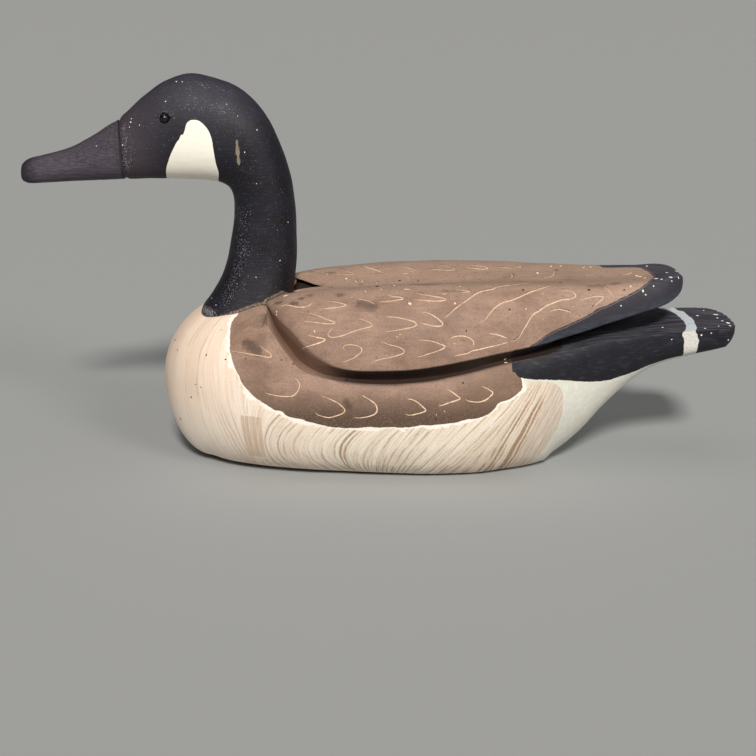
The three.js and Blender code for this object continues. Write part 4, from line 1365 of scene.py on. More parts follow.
# %% Lines between the body's paints
flank_edge = (
    238.6, 315, 235.7, 317.5, 232.9, 321.4, 231.1, 327.1, 230.6, 334.3, 230.7, 341.4, 230.4, 350.4,
    231.8, 355, 234.3, 365, 239.3, 375, 242.1, 382.1, 247.9, 389.3, 254.3, 395.7, 260, 400.1,
    267.9, 405, 272.1, 407.9, 276.4, 410, 280.7, 409.9, 284.3, 412.9, 287.9, 415.7, 293.6, 417.3,
    300.7, 418.2, 307.1, 420.7, 312.9, 421.8, 319.3, 423.9, 328.6, 425.7, 333.6, 426.8, 348, 427.5,
    358, 427.5, 368, 426.2, 378, 427, 390, 426.5, 402, 427, 414, 426, 420, 424.5, 430, 424.8,
    440, 423.5, 450, 423, 460, 421, 466, 418.8, 475, 418, 483, 415.8, 489, 413.5, 492, 410,
    495.5, 407.5, 496, 404.5, 500, 401.5, 508, 399.5, 513, 396.5, 516, 394, 520, 390.8, 521.8, 388,
    521.5, 383, 520.5, 378, 517.1, 372.9, 514.6, 370, 514.3, 366, 514, 362)
rump_edge = (
    516, 376.6, 520.7, 377.1, 526.4, 377.9, 535, 378.9, 545, 378.9, 555, 379.3, 565, 379.6,
    577, 380.6, 590, 381, 605, 380, 613, 378.2, 620, 376, 629, 373, 637, 370, 646, 366, 655, 362.8,
    665, 359.4, 677, 356.4, 690, 354.2)
wing_tip_edge = (
    530, 346.6, 534.3, 345, 540, 340.7, 544.3, 337.1, 550, 333.6, 555, 331.1, 560, 328.7,
    565, 326.8, 570, 324.4, 580, 320, 585.7, 317.1, 590, 314.8, 595.7, 311.2, 600, 308.6,
    607.1, 306.2, 612.1, 303.7, 619.3, 300.1, 624.3, 297.6, 630.7, 294.4, 635.7, 291.6,
    639.3, 289.4, 642.9, 286.9, 646.4, 284.4, 650, 280.9, 652.9, 278.7, 654.4, 277.1, 652.9, 275.1,
    650, 272.3, 645.7, 269.8, 641.4, 267.9, 637.1, 267.3, 628.6, 267.2, 620, 267.4, 611.4, 267.6,
    602.9, 267.4)
band_front = (
    661.3, 308.6, 668.1, 309.9, 675, 313, 680.6, 317.4, 684.4, 321.1, 686.6, 324.9, 686.9, 327.4,
    686.3, 329.9, 683.8, 333, 683.1, 335.5, 684.7, 338.6, 685, 341.8, 684.5, 345.5, 684.7, 349.9,
    684.2, 354.2)
band_rear = (
    675, 308.6, 677.5, 310.5, 682.5, 311.4, 685, 313.6, 688.1, 316.1, 691.3, 318.3, 693.1, 321.1,
    694.4, 324.3, 695.9, 327.4, 695, 330.5, 695, 332.7, 697.2, 334.9, 696.6, 338, 698.4, 340.5,
    697.2, 343.6, 696.9, 347.4, 695.9, 351.1, 695.3, 352)
fan_edge = (
    521, 398, 524, 390, 529, 384, 538, 381.5, 550, 382.5, 558, 386, 562, 392, 563, 400, 562, 412,
    558, 425, 552, 437, 545, 447, 538, 456)

# %% The same lines on the wood
CROSSING_STEPS = 12
TIP_SHIFT = 4 * MM  # the hidden tip's line lies this far ahead of the near one's
TIP_MEETING = 6 * MM  # and starts this far ahead of where that one ends


def over_the_top(end, inward=True):
    """Carries a line on from its end to the middle of the bird, over the hull's upper face."""
    place, _ = end
    share = (place.x - FRONT) / BODY_LENGTH
    line = []
    for i in range(1, CROSSING_STEPS + 1):
        y = place.y * (1 - i / CROSSING_STEPS)
        line.append((Vector((place.x, y, hull_top(share, y))), Vector((0, 0, 1))))
    return line if inward else line[::-1]


def traced(pixels):
    """A line of the photograph as stops along the body's surface."""
    line = on_surface(body_surface, pixels, PAINT_STEP)
    print(len(pixels) // 2, "points give", len(line), "stops along the surface")
    return line


flank_line = traced(flank_edge)
flank_line = over_the_top(flank_line[0], inward=False) + flank_line + over_the_top(flank_line[-1])
rump_line, tip_line = traced(rump_edge), traced(wing_tip_edge)
front_line, rear_line = traced(band_front), traced(band_rear)
fan_line = traced(fan_edge)
tip_end = tip_line[-1][0].x - TIP_MEETING
hidden_tip_line = [
    (Vector((place.x - TIP_SHIFT, -place.y, place.z)), Vector((normal.x, -normal.y, normal.z)))
    for place, normal in reversed(tip_line) if place.x < tip_end and place.y < 0]

# %% How far each point of the body is from them
WELL_OUT, WELL_IN, BEYOND_FAN = -3, 3, 5  # millimetres that no ragged edge reaches across
AHEAD_OF_TIP = 5 * MM

body_points = points_of(body)
body_x, body_y, body_z = body_points.T
near_points = folded(body_points)
flank = signed_distance(near_points, flank_line)
rump = signed_distance(near_points, rump_line)
tip = signed_distance(body_points, tip_line + hidden_tip_line)
tip[body_x < tip_line[0][0].x - AHEAD_OF_TIP] = WELL_IN
band = np.minimum(signed_distance(body_points, front_line),
                  -signed_distance(body_points, rear_line))
fan = -signed_distance(near_points, fan_line)
fan[near_points[:, 0] < fan_line[0][0].x] = BEYOND_FAN
print(int((band > 0).sum()), "points lie in the tail's band")

# %% Which paint it wears
ON_WING = 0.06 * MM  # points this close to the wings' own surface belong to it
FACES_DOWN, FACES_UP, FACES_ASTERN = -0.25, 0.35, 0.3
TAIL_FACE_START = 0.93 * BODY_LENGTH
UNDER_BROWN = 0.3  # the black reaches this far under the edge of the flank's brown,
BLACK_LEAD = 8  # and starts this far ahead of its rear end, both in millimetres

from_front = body_x - FRONT
body_normals = np.array([vertex.normal for vertex in body.data.vertices])
wing_gap = np.array([wing_surface.find_nearest(Vector(point))[3] for point in body_points])
on_wing = wing_gap < ON_WING
flank_rear = flank_line[-1][0].x
behind_flank = body_x > flank_rear
off_brown = np.minimum(UNDER_BROWN - flank, (body_x - flank_rear) / MM + BLACK_LEAD)
brown = np.where(on_wing, tip, flank)
black = np.where(on_wing, -tip, np.minimum(rump, off_brown))
under_tip = on_wing & behind_flank & (body_normals[:, 2] < FACES_DOWN)
tail_top = ~on_wing & behind_flank & (body_normals[:, 2] > FACES_UP)
tail_face = ~on_wing & (from_front > TAIL_FACE_START) & (body_normals[:, 0] > FACES_ASTERN)
brown[under_tip | tail_top | tail_face] = WELL_OUT
black[under_tip | tail_top | tail_face] = WELL_IN
print(int((black > 0).sum()), "points are black")

# %% The groove under the wings and the bevel at their front
# The groove field says where the groove's painted shade goes, the bevel field where the bevel's
# brown goes.
GROOVE_SHARES = (0.235, 0.31, 0.66, 0.70)  # it starts, is open and closes again,
GROOVE_NARROWS = (9, 0, 0, 9)  # and is narrower by these millimetres there
GROOVE_CAP_SHARES, GROOVE_CAP = (0.22, 0.25, 0.68, 0.70), (-5, 5, 5, -5)
GROOVE_ON_LIP = 0.5 * MM
LEDGE_RIM, BEHIND_START = 4 * MM, 0.012  # where the bevel's brown ends below and in front
NOT_ON_LIP = 30
SHARE_STEPS = 240

share_steps = np.linspace(MANTLE_START, MANTLE_END, SHARE_STEPS)
shares = from_front / BODY_LENGTH


def along_body(measure):
    """One number for every point, from its value at the point's place along the body."""
    return np.interp(shares, share_steps, [measure(float(share)) for share in share_steps])


ledge_side = along_body(lambda share: hull_section(share)[8])
lip_foot = along_body(lambda share: wing_edge_height(share) * BACK_HEIGHT)
lip_rise = along_body(lambda share: wing_lip(share)[0])
height_on_lip = body_z - lip_foot
inside_ledge = ledge_side - np.abs(body_y)
groove = np.where(on_wing, GROOVE_ON_LIP - height_on_lip, inside_ledge) / MM
groove[~on_wing & (body_normals[:, 2] < 0)] = GROOVE_CAP[0]
groove -= np.interp(shares, GROOVE_SHARES, GROOVE_NARROWS)
groove = np.minimum(groove, np.interp(shares, GROOVE_CAP_SHARES, GROOVE_CAP))

ledge_top = along_body(lambda share: hull_section(share)[4])
past_start = shares > MANTLE_START + BEHIND_START
on_ledge = ~on_wing & past_start & (body_z > ledge_top - LEDGE_RIM)
bevel = np.where(on_wing, lip_rise - height_on_lip, inside_ledge) / MM
bevel[~(on_wing | on_ledge)] = GROOVE_CAP[0]
bevel_strength = np.interp(shares, BEVEL_END, (1, 0))
lip = np.where(on_wing, height_on_lip / MM, NOT_ON_LIP)
print(int((groove > 0).sum()), "points lie in the groove")

# %% [markdown]
# ## Brush directions
# The pale belly was brushed with a dry, dirty brush and its streaks show which way the hand went:
# upright round the breast, in short bows below the flank, then slanting towards the tail. Two
# numbers on each point, one across and one along the stroke, let a stretched noise follow that.

# %% Across and along the brush
BREAST_CENTRE = 72 * MM
BREAST_ROUND = 66 * MM
MIDDLE_HEIGHT = 22  # millimetres up, where a stroke's place is counted
ROUNDS = 14  # each round finds a stroke's start more closely
# Millimetres round the breast from its nose, then how far a stroke there bows forward, how high
# its bow's middle is, the bow's half height, and how the stroke slants.
HAND_MOVES = (
    (0, 0, 24, 17, 0.0), (55, 0, 24, 17, -0.05), (74, 0, 24, 17, -0.28), (89, 0, 24, 17, -0.05),
    (108, 8, 24, 17, 0.0), (150, 9, 22, 16, 0.0), (165, 9, 17, 18, 0.05), (185, 8, 12, 24, 0.2),
    (205, 3, 10, 24, 0.7), (225, 1, 10, 24, 0.85), (240, 0, 10, 24, 0.55), (254, 0, 10, 24, 0.42),
    (300, 0, 10, 24, 0.33))


def round_the_breast(points):
    """Millimetres round the breast from its nose, then along the flank."""
    ahead = points[:, 0] - FRONT
    turn = np.arctan2(np.abs(points[:, 1]), BREAST_CENTRE - ahead)
    return np.where(ahead < BREAST_CENTRE, BREAST_ROUND * turn,
                    BREAST_ROUND * math.pi / 2 + ahead - BREAST_CENTRE) / MM


def brush_across(points):
    """Where each point's stroke starts, in millimetres round the breast and along the belly."""
    round_breast = round_the_breast(points)
    height = points[:, 2] / MM
    start = round_breast.copy()
    places, *moves = (list(column) for column in zip(*HAND_MOVES))
    for _ in range(ROUNDS):
        bow, middle, half, slant = (np.interp(start, places, move) for move in moves)
        bowed = bow * (1 - ((height - middle) / half) ** 2).clip(-1.5, 1)
        start = (start + round_breast + bowed - slant * (height - MIDDLE_HEIGHT)) / 2
    return start + 0.8 * np.sin(height / 13 + start / 21)


around = round_the_breast(body_points)
across = brush_across(body_points)
print("Round the breast and along the belly it is", round(around.max()), "mm")

# %% Dark smudges, and all that the body's paint asks for
dark_smudges = (
    (7, 0.35, 590, 286, 603, 285.5), (5, 0.4, 612, 284, 618, 283), (3, 0.4, 626.4, 278.7),
    (3, 0.4, 635, 279.6), (4, 0.35, 601.4, 277.3), (5, 0.4, 413, 284.4, 425, 284.6, 437, 284.2),
    (6, 0.45, 340, 295), (5, 0.45, 310, 295), (3.5, 0.6, 301.5, 298.5), (4, 0.45, 361, 284.5),
    (4, 0.45, 328, 273, 333, 273), (3.5, 0.6, 292, 303.5, 296, 303.8),
    (7, 0.5, 360, 304, 372, 307), (4, 0.35, 443, 291, 463, 291.5), (4, 0.35, 445, 322.5, 448, 326),
    (4, 0.5, 346, 401.5, 350, 408), (6, 0.55, 246, 343, 252, 347, 258, 351.5),
    (3, 0.5, 276, 303, 281, 302.5), (3.5, 0.6, 264, 315, 266, 321, 270, 327))

write(body, brown=brown, black=black, band=band, fan=fan, wing=on_wing, lip=lip, groove=groove,
      bevel=bevel, bevel_strength=bevel_strength, across=across, around=around,
      up=body_normals[:, 2], smudge=stained(body_points, body_surface, dark_smudges))

# %% Lines and scuffs on the head
cheek_edge = (
    218.6, 178.6, 218.6, 172.7, 216.4, 165.5, 214.5, 156.4, 213.2, 148.2, 211.8, 140, 209.1, 131.8,
    204.5, 125.5, 199.1, 120.9, 194.5, 119.8, 190, 120.5, 186.4, 123.6, 184.5, 130.9, 182.7, 135.5,
    180.5, 135, 179.5, 138.6, 176.4, 142.7, 172.7, 150, 169.5, 157.3, 168.2, 161.8, 166.2, 169.1,
    166.4, 176.8)
crease_edge = (
    118.3, 121.5, 119, 130.6, 119.8, 140, 121, 149, 122, 158, 125, 169, 126.3, 175.5)
head_scuffs = (
    (5, 0.8, 125, 126, 124, 145, 126, 168), (3, 0.5, 131, 127, 131, 160),
    (4, 0.55, 200, 84.5, 216, 88, 233, 93.5), (7, 0.4, 247, 213, 245, 232, 243, 250),
    (10, 0.6, 240, 215, 242, 245, 236, 275, 225, 300), (3, 0.7, 161, 113.5, 166, 112.4, 171, 114),
    (3, 0.5, 155, 119, 159, 117), (5, 1.7, 200, 303, 204, 309, 212, 314),
    (9, 0.4, 190, 100, 225, 110), (3, 0.45, 238, 136, 239, 150, 240, 168))
CHEEK_STEP = 1.0 * MM

head_points = points_of(head)
near_head = folded(head_points)
foot = np.array([body_surface.find_nearest(Vector(point))[3] for point in head_points]) / MM
cheek = signed_distance(near_head, on_surface(head_surface, cheek_edge, CHEEK_STEP))
face = signed_distance(near_head, on_surface(head_surface, crease_edge, PAINT_STEP))
scuff = stained(near_head, head_surface, head_scuffs)
write(head, cheek=cheek, face=face, foot=foot, scuff=scuff)

# %% [markdown]
# ## Mixing the finishes
# A material is a small graph of nodes. Each helper below adds one node to the graph that is open
# on the bench and gives its output, so that a finish reads as a recipe: lay a ground, break it up
# with noise, then lay the next coat over it, as far as a few shares between 0 and 1 multiplied
# together allow.

# %% Colours from their codes
def colour(code):
    """A colour from its usual six-figure code, as the linear values that a shader takes."""
    shares = [int(code[i:i + 2], 16) / 255 for i in (0, 2, 4)]
    linear = [s / 12.92 if s <= 0.04045 else ((s + 0.055) / 1.055) ** 2.4 for s in shares]
    return (*linear, 1)


def colours(codes):
    return [colour(code) for code in codes.split()]


print("A middle grey of code 808080 is", round(colour("808080")[0], 3), "to the shader")


# %% A recipe book for procedural paint
def put(socket, value):
    """Links a node's output to a socket, or sets the socket to a plain value."""
    if isinstance(value, bpy.types.NodeSocket):
        tree.links.new(value, socket)
    else:
        socket.default_value = value


def node(kind, *inputs, output=0, **settings):
    """Adds a node with its settings and with (socket, value) pairs for inputs."""
    made = tree.nodes.new(kind)
    for name, value in settings.items():
        setattr(made, name, value)
    for socket, value in inputs:
        put(made.inputs[socket], value)
    return made.outputs[output]


def along(axis):
    """Each point's place along one axis, in metres."""
    return node("ShaderNodeSeparateXYZ", (0, object_place), output="XYZ".index(axis))


def stored(name):
    """A number that the mesh carries on its points or faces."""
    return node("ShaderNodeAttribute", output="Fac", attribute_name=name)


def calc(operation, a, b=0.0):
    return node("ShaderNodeMath", (0, a), (1, b), operation=operation)


def plus(a, b):
    return calc("ADD", a, b)


def minus(a, b):
    return calc("SUBTRACT", a, b)


def times(product, *factors):
    for factor in factors:
        product = calc("MULTIPLY", product, factor)
    return product


def gap(a, b):
    return calc("ABSOLUTE", minus(a, b))


def xyz(x, y, z):
    return node("ShaderNodeCombineXYZ", (0, x), (1, y), (2, z))


def ramp(value, low, high, start=0.0, end=1.0):
    """Eases from start to end as the value goes from low to high."""
    return node("ShaderNodeMapRange", ("Value", value), ("From Min", low), ("From Max", high),
                ("To Min", start), ("To Max", end), interpolation_type="SMOOTHSTEP")


def noisy(size, detail=2.0, rough=0.5, where=None):
    """Noise about 0.5 on average, in lumps of one size or of (x, y, z), in millimetres."""
    sizes = size if isinstance(size, tuple) else (size,) * 3
    unit = 1 / MM if where is None else 1
    source = object_place if where is None else where
    scaled = node("ShaderNodeMapping", ("Vector", source), ("Scale", [unit / s for s in sizes]))
    return node("ShaderNodeTexNoise", ("Vector", scaled), ("Scale", 1.0), ("Detail", detail),
                ("Roughness", rough), output="Fac")


def coats(ground, *layers):
    """A ground with coats laid over it: each is a colour and the shares that thin it."""
    for coat, *shares in layers:
        ground = node("ShaderNodeMix", (0, times(*shares)), (6, ground), (7, coat), output=2,
                      data_type="RGBA")
    return ground


def opened(name):
    """A material, its graph and each point's place in it, for the helpers to work on."""
    material = bpy.data.materials.get(name) or bpy.data.materials.new(name)
    material.use_nodes = True
    coordinates = material.node_tree.nodes.new("ShaderNodeTexCoord")
    return material, material.node_tree, coordinates.outputs["Object"]


def finish(material, base, roughness, specular, height=None, depth=0.0):
    """Joins the recipe to the shader, with a height that stands up by a depth in metres."""
    shader = tree.nodes["Principled BSDF"]
    put(shader.inputs["Base Color"], base)
    put(shader.inputs["Roughness"], roughness)
    shader.inputs["Specular IOR Level"].default_value = specular
    if height is not None:
        bump = node("ShaderNodeBump", ("Height", height), ("Distance", depth))
        put(shader.inputs["Normal"], bump)
    print(material.name, "is mixed from", len(tree.nodes), "nodes")


# %% [markdown]
# ## The body's paint
# Four matte colours lie on the wood: a cream breast and belly with dirty brush streaks, taupe
# wings and flanks, a black rump and wing tips and a white band across the tail. Old craft paint
# is never one flat tone, so each has its own blotches, dry-brush lines and specks. Their edges are
# the stored distances with a little noise added, as a hand leaves them.

# %% The body's colours
PEACH, CREAM, OFF_WHITE = colours("f4ddc8 eadcc8 fbf4e8")
TAN, TAN_DARK, FAN_GREY, RUMP_WHITE = colours("c2a78f 97795e b5a597 d8d8cd")
TAUPE, TAUPE_LIGHT, TAUPE_PALE = colours("8d7162 a88c7b b39887")
TAUPE_DARK, TAUPE_SHADE, DIRT = colours("65503f 58463a 5f4c3d")
BLACK, BLACK_SHADED_SIDE, BLACK_WORN, SOOT = colours("1f1f28 13141d 4a4852 17171c")
TAIL_DUST, TIP_PAINTED_SHEEN, BAND_WHITE, BAND_LIT_TOP = colours("5c5b63 3c404e d4d2cb d3dce2")
EDGE_WHITE, EDGE_PINK = colours("fbf5ea b09484")
GROOVE_PAINTED_SHADE, BEVEL_BROWN, SMUDGE_BROWN = colours("30221b 967a68 44352e")
print("The darkest colour is the groove's:", [round(share, 3) for share in GROOVE_PAINTED_SHADE[:3]])

# %% Places, brushes and ragged edges
EDGE_SOFTNESS = 0.25  # millimetres over which one paint gives way to the next
BRUSH_STRETCH = 20  # how fast a stroke's pattern changes along the body

paint, tree, object_place = opened("paint")
astern, sideways, height = (along(axis) for axis in "XYZ")
upright = calc("DIVIDE", height, MM)
across, around = stored("across"), stored("around")
facing_up, wing = stored("up"), stored("wing")
off_wing = minus(1.0, wing)

wobble = noisy(3.0, 3, 0.6)
fray = noisy(0.7, 2, 0.6)
brush_place = xyz(across, upright, times(astern, BRUSH_STRETCH))
FINE, BROAD, HAIR = (0.6, 26, 9), (1.9, 36, 9), (0.5, 13, 9)  # sizes across and along strokes
brush_fine = noisy(FINE, 2, 0.6, brush_place)
brush_broad = noisy(BROAD, 3, 0.6, brush_place)
brush_hair = noisy(HAIR, 1, 0.5, brush_place)
edge_noise = minus(plus(times(wobble, 1.1), times(fray, 0.7)), 0.4)


def ragged(name, amount=1.0):
    """A stored distance, shaken by the edge noise."""
    return plus(stored(name), times(edge_noise, amount))


def edge(name):
    """Where a coat lies: 0 outside its stored line, 1 inside."""
    return ramp(ragged(name), -EDGE_SOFTNESS, EDGE_SOFTNESS)


print("Brush strokes are about", FINE[0], "and", BROAD[0], "mm wide")

# %% Cream breast and belly
on_belly = ramp(astern, -110 * MM, -80 * MM, 0.2, 1.0)
cream = coats(
    PEACH, (CREAM, ramp(astern, -120 * MM, 0)),
    (OFF_WHITE, ramp(brush_broad, 0.40, 0.62, 0.0, 0.6), on_belly),
    (TAN, ramp(brush_fine, 0.56, 0.60, 0.0, 0.42), on_belly))
low_down = ramp(height, 6 * MM, 28 * MM, 0.85, 0.05)
cream = coats(cream, (TAN_DARK, ramp(brush_hair, 0.60, 0.63), times(low_down, on_belly)))

# %% [markdown]
# ## Single strokes of dirty paint
# Some strokes stand out from the rest: a few broad tan patches, and some forty thin dark lines
# that a dirty brush left. Each is a place across the strokes, so it bends with them, and a slow
# noise makes it shake. The lines fade where the brush ran dry.

# %% Tan patches and lines
TAN_PATCHES = (  # each patch's place in millimetres, half width, strength and top height
    (254, 4.0, 0.5, 70), (238, 14, 0.35, 70), (18, 8, 0.2, 200), (47, 7, 0.2, 200))
FULL_LINE = 0.7  # stronger lines than this run down from the rump without a break
LOW_LINES = (64, 90)  # lines between these places stay low on the breast
TAN_LINES = (  # each line's place in millimetres, its half width and its strength
    (16, 0.4, 0.15), (27, 0.4, 0.25), (38, 0.6, 0.3), (41, 0.3, 0.25), (52, 0.4, 0.3),
    (58, 0.5, 0.3), (61, 0.3, 0.25),
    (66, 0.3, 0.3), (70, 0.4, 0.45), (73.5, 0.35, 0.5), (77, 0.45, 0.5), (81, 0.3, 0.4),
    (106, 0.4, 0.6), (110, 0.3, 0.4), (116, 0.4, 0.6), (119.5, 0.3, 0.5), (126, 0.3, 0.4),
    (135, 0.3, 0.4), (143, 0.4, 0.6), (150.5, 0.35, 0.5), (154.3, 0.6, 0.8), (157, 0.4, 0.7),
    (168.5, 0.35, 0.6), (171.5, 0.3, 0.4), (176.5, 0.4, 0.55), (181, 0.3, 0.45), (184, 0.3, 0.5),
    (188, 0.45, 0.6), (192, 0.4, 0.6), (198, 0.35, 0.4), (206, 0.4, 0.45), (214, 0.35, 0.5),
    (222, 0.5, 0.5), (228, 0.35, 0.5), (233, 0.4, 0.55), (240, 0.5, 0.7), (243.5, 0.7, 0.85),
    (246.5, 0.4, 0.6), (252, 1.1, 0.9), (255.3, 0.6, 0.85), (258, 0.35, 0.5), (262, 0.3, 0.3),
    (266, 0.3, 0.3), (270, 0.3, 0.3), (275, 0.3, 0.35), (279, 0.3, 0.3))

shake = times(noisy((7, 12, 9), 2, 0.5, brush_place), 2.4)
shaky_across = minus(plus(across, shake), 1.2)
running_dry = ramp(noisy((3, 12, 9), 2, 0.5, brush_place), 0.40, 0.56, 0.2, 1.0)
low_on_breast = ramp(upright, 34, 50, 1.0, 0.2)
below_the_rump = ramp(upright, 46, 58, 1.0, 0.2)
dry = ramp(brush_hair, 0.38, 0.50, 0.35, 1.0)

patches_tan = 0.0
for place, half, strength, top in TAN_PATCHES:
    patch = ramp(gap(shaky_across, place), half - 0.8, half + 0.2, strength, 0.0)
    below_top = ramp(upright, top - 0.4, top + 0.4, 1.0, 0.0)
    patches_tan = calc("MAXIMUM", patches_tan, times(patch, below_top))
lines_tan = 0.0
for place, half, strength in TAN_LINES:
    line = ramp(gap(shaky_across, place), half, half + 0.35, strength, 0.0)
    fade = below_the_rump if strength > FULL_LINE else running_dry
    if LOW_LINES[0] < place < LOW_LINES[1]:
        fade = low_on_breast
    lines_tan = calc("MAXIMUM", lines_tan, times(line, fade))
cream = coats(cream, (TAN, patches_tan, dry), (TAN_DARK, lines_tan))
print(len(TAN_PATCHES), "tan patches and", len(TAN_LINES), "lines")

# %% Knots, crumbs, the fan behind the flank and the plain rump
FLAT_PATCH = (90, 28)  # a patch rubbed with the flat of the brush: place and height
FLAT_PATCH_HALF = (7.5, 15)  # and its half sizes, in millimetres
FAN_START = 256.5

# Painted light: low on the front of the breast the cream is lightened with off-white, as light
# thrown up from the floor would lighten it.
breast_painted_light = ramp(astern, -110 * MM, -75 * MM, 0.55, 0.0)
cream = coats(
    cream, (OFF_WHITE, ramp(fray, 0.56, 0.64), on_belly, 0.4),
    (TAN_DARK, ramp(fray, 0.42, 0.34), on_belly, 0.22),
    (FAN_GREY, ramp(shaky_across, FAN_START, FAN_START + 2, 0.0, 0.65), dry),
    (OFF_WHITE, breast_painted_light, ramp(upright, 20, 62, 1.0, 0.0)))

past_sides = (minus(gap(value, middle), half)
              for value, middle, half in zip((around, upright), FLAT_PATCH, FLAT_PATCH_HALF))
past_patch = plus(calc("MAXIMUM", *past_sides), times(edge_noise, 0.5))
flat_patch = ramp(past_patch, -0.2, 0.2, 1.0, 0.0)
near_side = ramp(sideways, -2 * MM, 2 * MM, 1.0, 0.0)
patch_hair = noisy((1.0, 40, 9), 2, 0.5, xyz(around, upright, 0.0))
beyond_fan = ramp(ragged("fan", 0.4), -0.2, 0.2, 1.0, 0.0)
plain_rump = coats(RUMP_WHITE, (OFF_WHITE, ramp(wobble, 0.4, 0.7, 0.0, 0.3)))
cream = coats(
    cream, (TAN, flat_patch, near_side, ramp(patch_hair, 0.38, 0.6, 0.3, 0.75)),
    (plain_rump, beyond_fan))
print("The flat patch is", 2 * FLAT_PATCH_HALF[0], "mm wide")

# %% [markdown]
# ## Taupe and black
# The taupe is paler on the wings' ends and full of grit: fine dark and pinkish specks, with a
# little dirt. On faces turned up it is painted paler, as painted light, and low on the flank it is
# painted darker, as painted shade. The black of the rump and the tips has dried in streaks along
# the grain and is dusty on top; on the sides it is painted deeper, as painted shade, and a bluish
# painted sheen runs along the tips just above their lower edge.

# %% Taupe wings and flanks
blotches = noisy((16, 10, 10), 3, 0.55)
dry_brush = noisy((22, 1.0, 1.0), 3, 0.6)
taupe = coats(
    TAUPE, (TAUPE_LIGHT, ramp(blotches, 0.30, 0.72)),
    # Painted shade: low on the flank the taupe darkens; painted light: faces turned up grow paler.
    (TAUPE_SHADE, ramp(height, 43 * MM, 64 * MM, 1.0, 0.0)),
    (TAUPE_PALE, ramp(facing_up, 0.8, 1.0, 0.0, 0.7)),
    (TAUPE_PALE, wing, ramp(astern, 80 * MM, 160 * MM, 0.0, 0.8)))
TAUPE_GRIT = (  # a noise, where it starts and ends, how strong the grit is, its colour
    (noisy(0.5, 1), 0.48, 0.66, 0.42, TAUPE_DARK), (dry_brush, 0.45, 0.75, 0.3, TAUPE_DARK),
    (fray, 0.53, 0.64, 0.36, EDGE_PINK), (noisy(2.2), 0.6, 0.72, 0.35, TAUPE_DARK),
    (noisy(0.7, 0), 0.74, 0.78, 0.6, DIRT))
for grit, low, high, strength, shade in TAUPE_GRIT:
    taupe = coats(taupe, (shade, ramp(grit, low, high, 0.0, strength)))
taupe = coats(taupe, (TAUPE_DARK, off_wing, ramp(astern, 20 * MM, 80 * MM, 0.0, 0.4)))
print("The taupe has", len(TAUPE_GRIT), "kinds of grit")

# %% Black rump and wing tips
tail_streaks = noisy((40, 1.6, 1.6), 3, 0.6)
# Painted shade: the black is deeper on the sides than on top, and its worn streaks fainter there.
worn = ramp(facing_up, 0.2, 0.6, 0.28, 0.8)
dusty = ramp(tail_streaks, 0.4, 0.65, 0.2, 0.8)
# Painted sheen: a bluish light along the tips' near faces, just above their lower edge.
sheen_near_lip = ramp(plus(stored("lip"), times(wobble, 4)), 5.0, 8.0, 0.75, 0.0)
jet = coats(
    BLACK_SHADED_SIDE, (BLACK, ramp(facing_up, 0.2, 0.6)),
    (BLACK_WORN, ramp(tail_streaks, 0.5, 0.72, 0.0, worn)),
    (SOOT, ramp(noisy(7), 0.55, 0.7, 0.0, 0.6)),
    (TAIL_DUST, ramp(facing_up, 0.6, 0.95), dusty), (BLACK_WORN, wing, 0.4),
    (TIP_PAINTED_SHEEN, sheen_near_lip, ramp(tail_streaks, 0.3, 0.6)))

# %% [markdown]
# ## Laying the coats
# The coats go on in the painter's order: cream, taupe, the thick white rim that was dabbed round
# the flank afterwards, black, and the band on the tail. Last come brown smudges, a brown over the
# bevel at the wings' front, and painted shade, near black, in the groove under the wings. A fine
# bump stands for brush marks.

# %% Coats, rims, smudges, painted shade and bump
BRUSH_RELIEF = 0.22 * MM

rim = ragged("brown")
lumps = ramp(noisy((11, 9, 6), 3, 0.6), 0.42, 0.66, 0.1, 1.0)
ragged_rim = plus(rim, times(lumps, 3.4))
# Painted light: the band is lighter and bluer on faces turned up than on its sides.
band_paint = coats(
    BAND_WHITE, (BAND_LIT_TOP, ramp(facing_up, 0.25, 0.6)),
    (BLACK_WORN, ramp(fray, 0.52, 0.66, 0.0, 0.35)))
smudge = plus(stored("smudge"), times(fray, 0.8))
# Painted shade: the groove under the wings is painted near black, faded out at its front end and a
# little lighter towards the rear.
groove_open = ramp(astern, -52 * MM, -12 * MM)
groove_shade_strength = ramp(astern, 10 * MM, 90 * MM, 0.95, 0.85)
base = coats(
    cream, (taupe, edge("brown")),
    (EDGE_WHITE, ramp(ragged_rim, -0.9, 0.3), ramp(rim, -0.2, 0.2, 1.0, 0.0), off_wing),
    (jet, edge("black")),
    (EDGE_PINK, ramp(rim, -0.5, -0.1), ramp(rim, 0.1, 0.45, 1.0, 0.0), wing, 0.3),
    (band_paint, edge("band"), off_wing),
    (SMUDGE_BROWN, ramp(smudge, 0.55, 0.85, 0.0, 0.62)),
    (BEVEL_BROWN, ramp(ragged("bevel", 0.3), -0.2, 0.2), stored("bevel_strength"), 0.85),
    (GROOVE_PAINTED_SHADE, ramp(ragged("groove", 0.4), -0.9, 0.7), groove_open, groove_shade_strength))

streaks = plus(times(brush_fine, 0.6), times(brush_broad, 0.4))
relief = plus(times(dry_brush, 0.5), times(fray, 0.35))
relief = plus(relief, times(streaks, on_belly))
finish(paint, base, ramp(blotches, 0.3, 0.7, 0.58, 0.78), 0.35, relief, BRUSH_RELIEF)

# %% Bare wood in the cuts
WOOD_DARK, WOOD_LIGHT = colours("a98b76 e8cfb6")
WOOD_TONES = (  # a range of tones, the colour's share at both ends of it and the colour
    # The first tone also darkens the scratches over the eye and, as painted shade, the walls of
    # the hollow behind the neck.
    (-0.5, 0.2, 1.0, 0.0, colour("2a1f1a")),  # pits, full of dirt
    (1.4, 1.8, 0.0, 1.0, colour("dcdbd9")),  # the white ground
    (2.3, 2.7, 0.0, 1.0, colour("857a6b")))  # weathered wood

